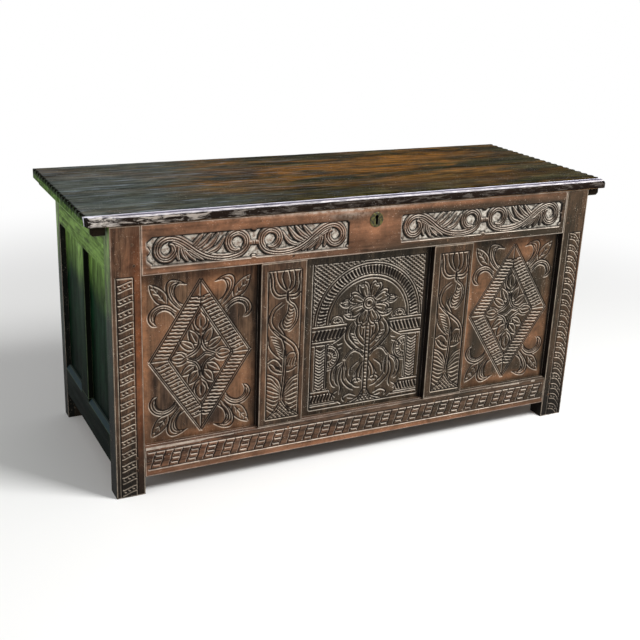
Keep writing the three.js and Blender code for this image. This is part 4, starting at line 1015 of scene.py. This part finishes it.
# Centre panel
# A feather-edged oak panel with an arch on short pillars, and a flower and drooping tulips that
# grow from a small mound. The arch is fluted, the corners outside it are full of small pits, and
# half rosettes fill the pillars' sides.
centre_mark, centre_width = (7.5, 0), 356
field = (-157.5, 157.5, 136.0, 518.0)  # from the arch's middle
arch_spring = 360.0
arch_rings = (152.0, 145.0, 119.0, 112.0)
arch_flutes = 47
net_slopes, net_pitch, net_depth, net_ridge = (0.75, -1.3), 8.6, 1.9, 2.4
pillar_head = (3.4, 2.3, (59.5, 357), (60, 350), (64, 336), (76, 322), (82, 318), (97, 309))
pillar_foot = (3.2, 2.2, (103, 184), (99, 175), (92, 162), (88, 151), (74, 146), (64, 137))
flower_mark = np.array((0.0, 402.8))
flower_petal = ((18, -7), (33, -14), (51, -17), (61, -9), (56, 0), (61, 9), (51, 17), (33, 14), (18, 7))
upper_tulips = (
    (3.8, 2.4, (5.5, 172), (18, 152), (52, 138)), (3.4, 2.2, (4, 163), (14, 147), (38, 137)),
    (4.0, 2.4, (6, 268), (36, 285), (62, 315), (58, 344), (43, 361)),
    (3.4, 2.0, (6, 276), (30, 294), (50, 318), (48, 340), (38, 352)),
    (3.8, 2.3, (6, 290), (22, 306), (34, 328), (30, 352), (40, 360)),
    (3.6, 2.2, (8, 308), (20, 322), (22, 342), (14, 352)))
lower_tulips = (
    (3.8, 2.4, (64, 258), (66, 232), (66, 206), (52, 186), (32, 172)),
    (3.4, 2.1, (60, 256), (54, 234), (54, 212), (44, 196), (30, 186)),
    (3.8, 2.4, (66, 257), (82, 250), (97, 236), (99, 212), (92, 194), (84, 188)),
    (3.4, 2.1, (68, 252), (82, 240), (88, 224), (86, 204), (78, 190)),
    (3.6, 2.2, (65, 250), (74, 228), (76, 206), (70, 184), (74, 166)),
    (3.4, 2.1, (20, 252), (32, 244), (44, 232), (46, 214)),
    (3.8, 2.3, (8, 250), (20, 232), (26, 210), (20, 190)),
    (3.4, 2.1, (8, 238), (14, 224), (16, 208), (10, 194)),
    (3.4, 2.1, (9, 200), (26, 206), (38, 198), (30, 184), (12, 178)),
    (3.4, 2.1, (24, 156), (44, 164), (62, 156), (58, 144)), (3.2, 2.1, (61, 246), (58, 222), (58, 204)),
    (3.2, 2.1, (84, 246), (92, 228), (92, 208)), (3.2, 2.1, (14, 196), (30, 194)),
    (3.2, 2.1, (72, 296), (88, 290), (96, 276)), (3.2, 2.1, (70, 308), (84, 304)),
    (3.2, 2.1, (14, 244), (26, 226), (34, 210)), (3.2, 2.1, (30, 150), (48, 154)),
    (3.2, 2.1, (78, 178), (90, 170), (84, 160)), (3.2, 2.1, (12, 338), (14, 322), (10, 306)))

# The centre panel takes the front's painted shade towards the right
centre_oak = oak_finish("centre_oak", upright, (42, 35, 29), (76, 63, 50), (98, 70, 48), 0.45,
                        (242, 228, 210), shade=shaded_to_right)


def ring(centre, radius, start=0, end=360):
    """An arc, counted anticlockwise from the right in degrees."""
    turn = np.radians(np.linspace(start, end, max(8, int(radius * abs(end - start) / 120))))
    return np.array(centre) + radius * np.column_stack([np.cos(turn), np.sin(turn)])


def ray_at(degrees):
    """The way that an angle points, and the way at its left."""
    ray = np.array((math.cos(math.radians(degrees)), math.sin(math.radians(degrees))))
    return ray, np.array((-ray[1], ray[0]))


def scoop(face, marks, width=6.0, depth=2.0, run_out=(0.3, 0.3)):
    """A cut with the round gouge."""
    cut(face, marks, width, depth, run_out, 2)


def net(face):
    """Small pits with crossed ridges left between them, in the corners outside the arch."""
    x, z = np.meshgrid(face.x, face.z)
    inside = ((np.hypot(x, z - arch_spring) > arch_rings[0] + 3) & (z > arch_spring + 2)
              & (np.abs(x) < field[1] - 3) & (z < field[3] - 3))
    away = off_lines(x, z, net_slopes, net_pitch, 0.5)
    face.cuts = np.minimum(face.cuts, -net_depth * np.clip((away - net_ridge / 2) / 1.3, 0, 1) * inside)


def arch(face):
    outline(face, *field)
    for radius in arch_rings:
        vee(face, ring((0, arch_spring), radius, 0, 180), 3.4, 2.3, (0, 0))
    for k in range(arch_flutes):
        ray, lean = ray_at(180 * (k + 0.5) / arch_flutes)
        lean = lean * 2.5
        start, end = ((0, arch_spring) + ray * r for r in (arch_rings[2] + 2, arch_rings[1] - 2))
        scoop(face, [start - lean, (start + end) / 2 + lean * 0.4, end + lean], 7.2, 2.6, (0.2, 0.12))
    net(face)


def bars(face, side, width, depth, *rows):
    """Level cuts from the panel's edge inwards: the height of each, and where it ends."""
    for z, inner in rows:
        vee(face, [(side * 157, z), (side * inner, z)], width, depth, (0, 0))


def half_rosette(face, centre, turn, radii, angles, start, end, tool, width):
    for radius in radii:
        size = (3.4, 2.3) if radius == radii[0] else (3.0, 2.0)
        vee(face, ring(centre, radius, *turn), *size, (0, 0))
    for angle in angles:
        ray = ray_at(angle)[0]
        tool(face, [centre + start * ray, centre + end * ray], width, 2.0)


def pillar(face, s):
    """Half of the arch's support: an impost, a herring-bone shaft with its half rosette, and a foot."""
    bars(face, s, 3.4, 2.3, (357.5, 59.5), (348, 62.5), (318, 81.5), (309, 97.5))
    strokes(face, [pillar_head], s)
    flutes = mirrored([(153, 320), (148, 333), (142, 346)], s)
    comb(face, 8, flutes, (-10.5 * s, 0), 7.6, 2.5, (0.1, 0.1), tool=scoop)
    for x in (113, 118, 146):
        vee(face, [(s * x, 306), (s * x, 187)], 3.2, 2.2, (0, 0))
    for k in range(15):
        z = 300 - 7.8 * k
        for x in (120, 144):
            vee(face, [(s * x, z), (s * 132, z - 8)], 3.2, 2.2, (0.05, 0.1))
    bars(face, s, 3.2, 2.2, (184, 103), (175, 99), (151, 88), (146, 78))
    strokes(face, [pillar_foot], s)
    flutes = mirrored([(154, 153), (150, 163), (146, 173)], s)
    comb(face, 7, flutes, (-9 * s, 0), 6.6, 2.4, (0.1, 0.1), tool=scoop)
    turn = (90, 270) if s > 0 else (-90, 90)
    angles = [turn[0] + 12 + 19.5 * k for k in range(9)]
    half_rosette(face, (s * 111, 271.5), turn, (33, 28, 10), angles, 13, 25, scoop, 5.0)
    half_rosette(face, (s * 89, 361), (0, 180), (19, 14), (35, 65, 90, 115, 145), 3, 12, vee, 3.0)


def flower(face):
    """Eight petals, each outlined twice, round a button, and four leaves beside them."""
    vee(face, ring(flower_mark, 17), 3.6, 2.4, (0, 0))
    vee(face, ring(flower_mark, 11), 3.0, 1.8, (0, 0))
    scoop(face, ring(flower_mark, 2.5), 6, 1.8, (0, 0))
    for k in range(8):
        ray, side = ray_at(22.5 + 45 * k)
        for scale in (1.0, 0.62):
            long = 0.55 + 0.45 * scale
            petal = [flower_mark + ray * (18 + (r - 18) * long) + side * w * scale
                     for r, w in flower_petal]
            vee(face, petal, 3.4, 2.2, (0.03, 0.03))
        vee(face, [flower_mark + ray * 22, flower_mark + ray * 42], 3.0, 1.8, (0.1, 0.5))
    for s in (1, -1):
        leaf(face, *mirrored(((50, 409), (83, 411)), s), 19)
        leaf(face, *mirrored(((42, 372), (70, 381)), s), 13, inner=False)


def garden(face):
    """The stem with its hatching, the drooping tulips and leaves on both sides, and the mound."""
    for s in (1, -1):
        vee(face, [(s * 5.5, 346), (s * 5.5, 160)], 3.6, 2.4, (0, 0))
        strokes(face, upper_tulips, s)
        comb(face, 4, mirrored([(24, 300), (36, 306)], s), mirrored([(5, 9), (4, 8)], s), 2.8, 1.8)
        twin(face, mirrored([(6, 262), (24, 281), (46, 279), (64, 258)], s), 5.0, 3.2, 2.2)
        strokes(face, lower_tulips, s)
    comb(face, 19, [(-3, 342), (3, 342)], (0, -9.6), 3.0, 1.8, (0, 0))
    for row, count in enumerate((5, 4, 3)):
        for k in range(count):
            middle = ((k - (count - 1) / 2) * 9.5, 139 + 6.5 * row)
            vee(face, ring(middle, 4.6, 0, 180), 2.8, 1.8, (0, 0))


face = panel_face("front_centre_panel", centre_mark, centre_width, 1.31, 51, 1.3)
arch(face)
pillar(face, 1)
pillar(face, -1)
flower(face)
face.bold = 1.45
garden(face)
# Painted shadow along the panel's right and top margins
shadow_margins(face, 11.0)
carved_piece("front_centre_panel", face, centre_oak, drop=0)


# Ends
# Two plain frames of rails and an upright, each with two feather-edged panels. Their outsides
# carry a painted green reflection, bright above, and are darkened to near black towards the floor.
def finished_both_ways(name, along, *colours, **looks):
    """A finish for a frame's rails, and one for its muntins and panels."""
    ways = (("level", along), ("upright", upright))
    return [oak_finish(f"{name}_{way}", lie, *colours, **looks) for way, lie in ways]


def plain_frame(side, finishes, slot, inward, *uprights):
    for part in ("top_rail", "bottom_rail"):
        plain_piece(f"{side}_{part}", finishes[0], inward)
    for part in uprights:
        plain_piece(f"{side}_{part}", finishes[1], inward)


# The ends' finishes lay the painted green reflection over the oak
end_oak = finished_both_ways("end_oak", crosswise, (74, 62, 46), (104, 88, 62), (96, 84, 58), 0.5,
                             (96, 112, 84), gloss=0.02, shade=green_cast)
for side, inward in (("left", (1, 0, 0)), ("right", (-1, 0, 0))):
    plain_frame(side, end_oak, "end_oak", inward, "muntin", "front_panel", "rear_panel")


# Back
# A frame of rails and two uprights with three plain panels, left rough because it stands
# against a wall.
back_oak = finished_both_ways("back_oak", level, (50, 40, 30), (84, 66, 48), (96, 70, 46), 0.4,
                              (132, 112, 90), roughness=0.68, gloss=0.1)
plain_frame("back", back_oak, "plain_oak", (0, -1, 0),
            "left_muntin", "right_muntin", "left_panel", "centre_panel", "right_panel")


# Bottom boards
# Five thin oak boards that run from front to back, let into a groove of the front rail and
# nailed up under the back one.
board_oak = oak_finish("board_oak", crosswise, (96, 74, 52), (134, 106, 76), (140, 104, 66), 0.5,
                       (160, 136, 106), soot_and_shade=(60, 46, 34), roughness=0.75, gloss=0.1)
for k in range(1, 6):
    plain_piece(f"bottom_board_{k}", board_oak, width=0.8)


# Lid
# Two long oak boards edge to edge. The front one has a thumb moulding, battered along its lower
# edge and broken at its left corner, and both are nicked with a gouge along the ends.
lid_slices, lid_strips = 7.0, 22.0
lid_arris = 1.2
nick_reach = 9.0  # from the lid's end to where its nicks stop
lid_hollow = 1.2  # how far the tops have worn down between the ends
lip_turn = (0.6752, 0.6736)  # where the moulding's rounded face turns down
# Where the moulding's painted highlights run: the lower arris's height and half width, and the line behind
# it
lip_highlight_height, lip_highlight_half = 0.6756, 0.0017
lip_back_highlight = -0.2398
battered, chewed_edge = 0.03, 0.012  # how far in from the front edge knocks and chips reach
broken_corner = (0.075, 0.028)  # along the lid and into it


def lip_colours(spot, cloudy):
    """The thumb moulding: painted highlights along its arrises and behind it, a painted cold reflection on
    its upper face, painted shade on its down-turned lower face, and raw wood where chipped.
    """
    lower = spot["Z"].ease(*lip_turn)
    chips = cloudy((11, 40, 60), 2.4).ease(0.5, 0.6) * lower * spot["X"].ease(-0.25, -0.5, 0.15, 0.8)
    broken = cloudy((14, 90, 90), 3.0).ease(0.36, 0.6, 0.2)
    # Painted cold reflection on the upper face, painted shade on the lower face
    colour = cloudy((6, 60, 60), 2.0).ease(0.35, 0.65).between(tone(58, 56, 72), tone(104, 100, 116))
    colour = chips.between(lower.between(colour, tone(30, 23, 19)), tone(168, 158, 148))
    corner = spot["X"].ease(-0.61, -0.66) * broken.ease(0.5, 0.9)
    colour = corner.between(colour, tone(190, 182, 174))
    # Painted highlights along the lower arris and at the back of the moulding
    edge = abs(spot["Z"] - lip_highlight_height).ease(lip_highlight_half, lip_highlight_half / 3, 0.0, 0.8)
    colour = (edge * broken).between(colour, tone(238, 232, 232))
    back = abs(spot["Y"] - lip_back_highlight).ease(0.0042, 0.0026) * broken.ease(0.2, 0.7, 0.4)
    return back.between(colour, tone(214, 212, 224))


def lid_colours(place, colour):
    """Near black, with golden streaks behind, blue-grey at the left, painted pale blue reflections in
    streaks towards the left, the painted green reflection and painted shade on the nicked ends, and the
    thumb moulding along the front edge.
    """
    spot = place.split()

    def cloudy(stretch, scale=1.6):
        stretched = add(place.tree, "ShaderNodeMapping", {"Vector": place, "Scale": stretch})
        return stretched.cloud(scale, 6.0, Roughness=0.65, Distortion=0.6)

    cloud, streak = cloudy((1.9, 7, 7)), cloudy((4, 60, 60))
    inside = spot["X"].ease(-0.55, -0.25) * spot["X"].ease(0.69, 0.4, 0.3)
    warm = spot["Y"].ease(-0.2, -0.02) * inside * cloud.ease(0.42, 0.58)
    warm = warm * streak.ease(0.38, 0.62, 0.2, 0.85)
    cool = spot["X"].ease(-0.1, -0.62) * cloud.ease(0.3, 0.66, 0.9, 0.25) * 0.7
    # Painted reflection: pale blue streaks, strongest towards the left
    painted_sheen = cloudy((4, 48, 48), 1.9).ease(0.54, 0.68) * spot["X"].ease(0.3, -0.5, 0.04, 0.6)
    # Painted shade in the nicks along the top of each end
    nick_shade = abs(spot["X"]).ease(0.693, 0.697, 0.0, 0.85) * spot["Z"].ease(0.666, 0.671)
    colour = cool.between(warm.between(colour, tone(122, 80, 26)), tone(86, 94, 92))
    colour = colour.tinted(cloudy((7, 55, 55)).ease(0.34, 0.66, 0.4, 1.5).grey())
    colour = painted_sheen.between(colour, tone(124, 134, 144))
    colour = nick_shade.between(green_cast(place, colour), tone(22, 27, 24))
    return spot["Y"].ease(-0.2345, -0.2365).between(colour, lip_colours(spot, cloudy))


lid_oak = oak_finish("lid_oak", level, (20, 21, 5), (48, 43, 19), (72, 45, 16), 0.7, (206, 200, 196),
                     roughness=0.46, gloss=0.004, bump=0.5, shade=lid_colours)


def slice_board(bm, low, high):
    """Cuts a board's faces into strips, so that its surface can be worn."""
    for axis, pitch in ((0, lid_slices), (1, lid_strips)):
        count = int((high[axis] - low[axis]) / MM / pitch)
        for k in range(1, count):
            at, normal = [0, 0, 0], [0, 0, 0]
            at[axis] = low[axis] + (high[axis] - low[axis]) * k / count
            normal[axis] = 1
            bmesh.ops.bisect_plane(bm, geom=[*bm.verts, *bm.edges, *bm.faces], dist=1e-6,
                                   plane_co=at, plane_no=normal)


def rough_at(*place):
    return noise.noise(Vector(place))


def wear_lid(bm, low, high, front):
    """Wears a lid board: a dished top, a battered front edge and a broken corner, with painted shade in its
    chewed edge and cracks.
    """
    hollow_shade = bm.verts.layers.float.new("hollow_shade")
    for v in bm.verts:
        x, y, z = v.co
        rough = rough_at(x * 34, y * 60, z * 60)
        if z > high[2] - 0.003:
            uneven = 0.35 + 0.3 * rough_at(x * 5, y * 9, 0.7) + 0.25 * rough_at(x * 22, y * 30, 3)
            v.co.z -= lid_hollow * MM * uneven
        if not front or y >= low[1] + battered:
            continue
        if y < low[1] + chewed_edge:
            chewed = max(0.0, rough_at(x * 11, 4, 0) + 0.35) * (1.4 if x < -0.1 else 0.7)
            v.co.y += (0.6 + 2.6 * chewed * max(0.0, rough + 0.4)) * MM
            v.co.z += 0.9 * rough * MM * chewed * (1 if z < high[2] - 0.012 else -1)
            # Painted shade in the chewed lower edge
            v[hollow_shade] = min(1.0, max(0.0, -1.3 * rough)) if z < low[2] + 0.011 else 0.0
        along, into = broken_corner
        corner = max(0.0, 1 - math.hypot((x - low[0]) / along, (y - low[1]) / into))
        if corner > 0:
            v.co.x += 0.010 * corner * (1 + rough)
            v.co.y += 0.012 * corner * (1 + 0.8 * rough)
            v.co.z -= 0.007 * corner * (z - low[2]) / 0.024
            # Painted shade in the broken corner's cracks
            v[hollow_shade] = min(1.0, max(0.0, 3.0 * corner * rough_at(x * 60, y * 60, z * 300)))


for node, front in (("lid_front_board", True), ("lid_rear_board", False)):
    low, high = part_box(node)
    bm = merged_copy(node)
    long = arrises(bm, lambda e: (e.calc_length() > 0.2
                                  and abs(e.verts[0].co.x - e.verts[1].co.x) > 0.1))
    bmesh.ops.bevel(bm, geom=long, offset=lid_arris * MM, segments=2, profile=0.5, affect="EDGES",
                    material=-1)
    slice_board(bm, low, high)
    wear_lid(bm, low, high, front)
    bare_inside(bm, (0, 0, -1))
    bmesh.ops.recalc_face_normals(bm, faces=bm.faces)
    # Painted shade on the faces of the gouge nicks near each end
    shade = bm.faces.layers.float.new("shade")
    for f in bm.faces:
        deep = high[0] - abs(f.calc_center_median().x)
        if 0.6 * MM < deep < nick_reach * MM and max(abs(f.normal.y), abs(f.normal.z)) < 0.93:
            f[shade] = 1.0
    set_piece(bm, node + "_worn", [lid_oak, bare_oak], "lid", [node], 1.7 + front, True)


# Cleats
# A batten nailed up under each end of the lid, outside the chest, to keep the boards flat. The
# nails were driven from above, and their forged heads stand a little proud.
nail_rows = 4
nail_radius, nail_rise, nail_height = 3.2, 0.4, 0.6795

forged_iron, shader, place = new_finish("forged_iron", 0.55, 0.5)
scale, rust = place.cloud(70.0, 5.0), place.cloud(28.0, 4.0)
colour = scale.ease(0.4, 0.65).between(tone(44, 42, 42), tone(78, 72, 66))
rust.ease(0.5, 0.68, 0.0, 0.8).between(colour, tone(92, 58, 38)).into(shader.inputs["Base Color"])
rust.ease(0.45, 0.65, 0.85, 0.1).into(shader.inputs["Metallic"])
scale.ease(0.3, 0.7, 0.42, 0.72).into(shader.inputs["Roughness"])
set_normals(scale, 0.5, 0.0008, shader)

for side in ("left", "right"):
    # Painted shade on the cleat's front end
    plain_piece(f"lid_{side}_cleat", end_oak[0], body="lid", painted_shade=[(0, -1, 0)])
    low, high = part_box(f"lid_{side}_cleat")
    bm = bmesh.new()
    for k in range(nail_rows):
        x = (low.x + high.x) / 2 + 0.002 * math.sin(5 * k)
        spot = Vector((x, low.y + (high.y - low.y) * (k + 0.5) / nail_rows, nail_height))
        head = bmesh.ops.create_cone(bm, cap_ends=True, segments=9, radius1=nail_radius * MM,
                                     radius2=nail_radius * 0.35 * MM, depth=nail_rise * 2 * MM,
                                     matrix=Matrix.Translation(spot) @ Matrix.Rotation(0.7 * k, 4, "Z"))
        for v in head["verts"]:
            v.co += Vector([noise.noise(v.co * 900 + Vector((j, 0, 0))) * 0.25 * MM for j in range(3)])
    set_piece(bm, f"lid_{side}_nails", [forged_iron], "lid")


# Pegs
# Cleft oak pegs, driven through every mortise and tenon of the front to draw its joints tight,
# and cut off nearly flush.
peg_radius, peg_length, peg_middle = 3.6, 8.0, -0.2565
front_pegs = [(-0.6005, 0.6134), (-0.5971, 0.5658), (0.5904, 0.606), (0.593, 0.5675)]
front_pegs += [(s * 0.600, z) for s in (-1, 1) for z in (0.066, 0.098)]
front_pegs += [(s * x, z) for s in (-1, 1) for x in (0.214, 0.259) for z in (0.553, 0.109)]
peg_oak = oak_finish("peg_oak", upright, (52, 36, 26), (92, 68, 50), (112, 70, 44), 0.3,
                     (150, 126, 102))
bm = bmesh.new()
for k, (x, z) in enumerate(front_pegs):
    turn = Matrix.Rotation(math.pi / 2, 4, "X") @ Matrix.Rotation(0.9 * k, 4, "Z")
    bmesh.ops.create_cone(bm, cap_ends=True, segments=8, radius1=peg_radius * MM,
                          radius2=peg_radius * MM, depth=peg_length * MM,
                          matrix=Matrix.Translation((x, peg_middle, z)) @ turn)
ease_arrises(bm, 0.5)
set_piece(bm, "front_pegs", [peg_oak], "carcase")


# Hinges
# Two forged iron strap hinges, each with a strap nailed under the lid, a leaf on the back rail
# and a riveted pin between them.
def metal_piece(node, body, width, kind="forged", finish=forged_iron):
    """A metal part: its solid with filed arrises."""
    bm = merged_copy(node)
    ease_arrises(bm, width)
    set_piece(bm, f"{node}_{kind}", [finish], body, [node])


for side in ("left", "right"):
    metal_piece(f"{side}_hinge_strap", "lid", 0.35)
    metal_piece(f"{side}_hinge_leaf", "carcase", 0.35)
    metal_piece(f"{side}_hinge_pin", "carcase", 0.35)


# Lock and keyhole plate
# An iron lock let into the back of the top rail, its bolt and the staple that it shoots through,
# and a small round brass plate round the keyhole, gone green and dark, with painted shade round the slot.
slot_middle, slot_half = (-0.003, 0, -0.623), (3.6, 13.0)

old_brass, shader, place = new_finish("old_brass", 0.45, 0.5)
spots = place.cloud(160.0, 4.0)
away = add(place.tree, "ShaderNodeMapping", {"Vector": place, "Location": slot_middle}).split()
wide, high = away["X"] / (slot_half[0] * MM), away["Z"] / (slot_half[1] * MM)
# Painted shade round the slot, widening the dark of the keyhole
slot_shade = (wide * wide + high * high).ease(1.25, 0.85)
colour = spots.ease(0.42, 0.62).between(tone(38, 36, 16), tone(92, 88, 44))
slot_shade.between(colour, tone(12, 10, 8)).into(shader.inputs["Base Color"])
(spots.ease(0.4, 0.6, 0.3, 0.6) - slot_shade).into(shader.inputs["Metallic"])
set_normals(spots, 0.4, 0.0006, shader)

metal_piece("lock_plate", "carcase", 0.3)
metal_piece("lock_bolt", "lock_bolt", 0.3)
metal_piece("lid_staple", "lid", 0.3)
metal_piece("escutcheon", "carcase", 0.25, "plate", old_brass)

size = {"cad": [list(corner) for corner in cad_box], "visual": [list(corner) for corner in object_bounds()]}
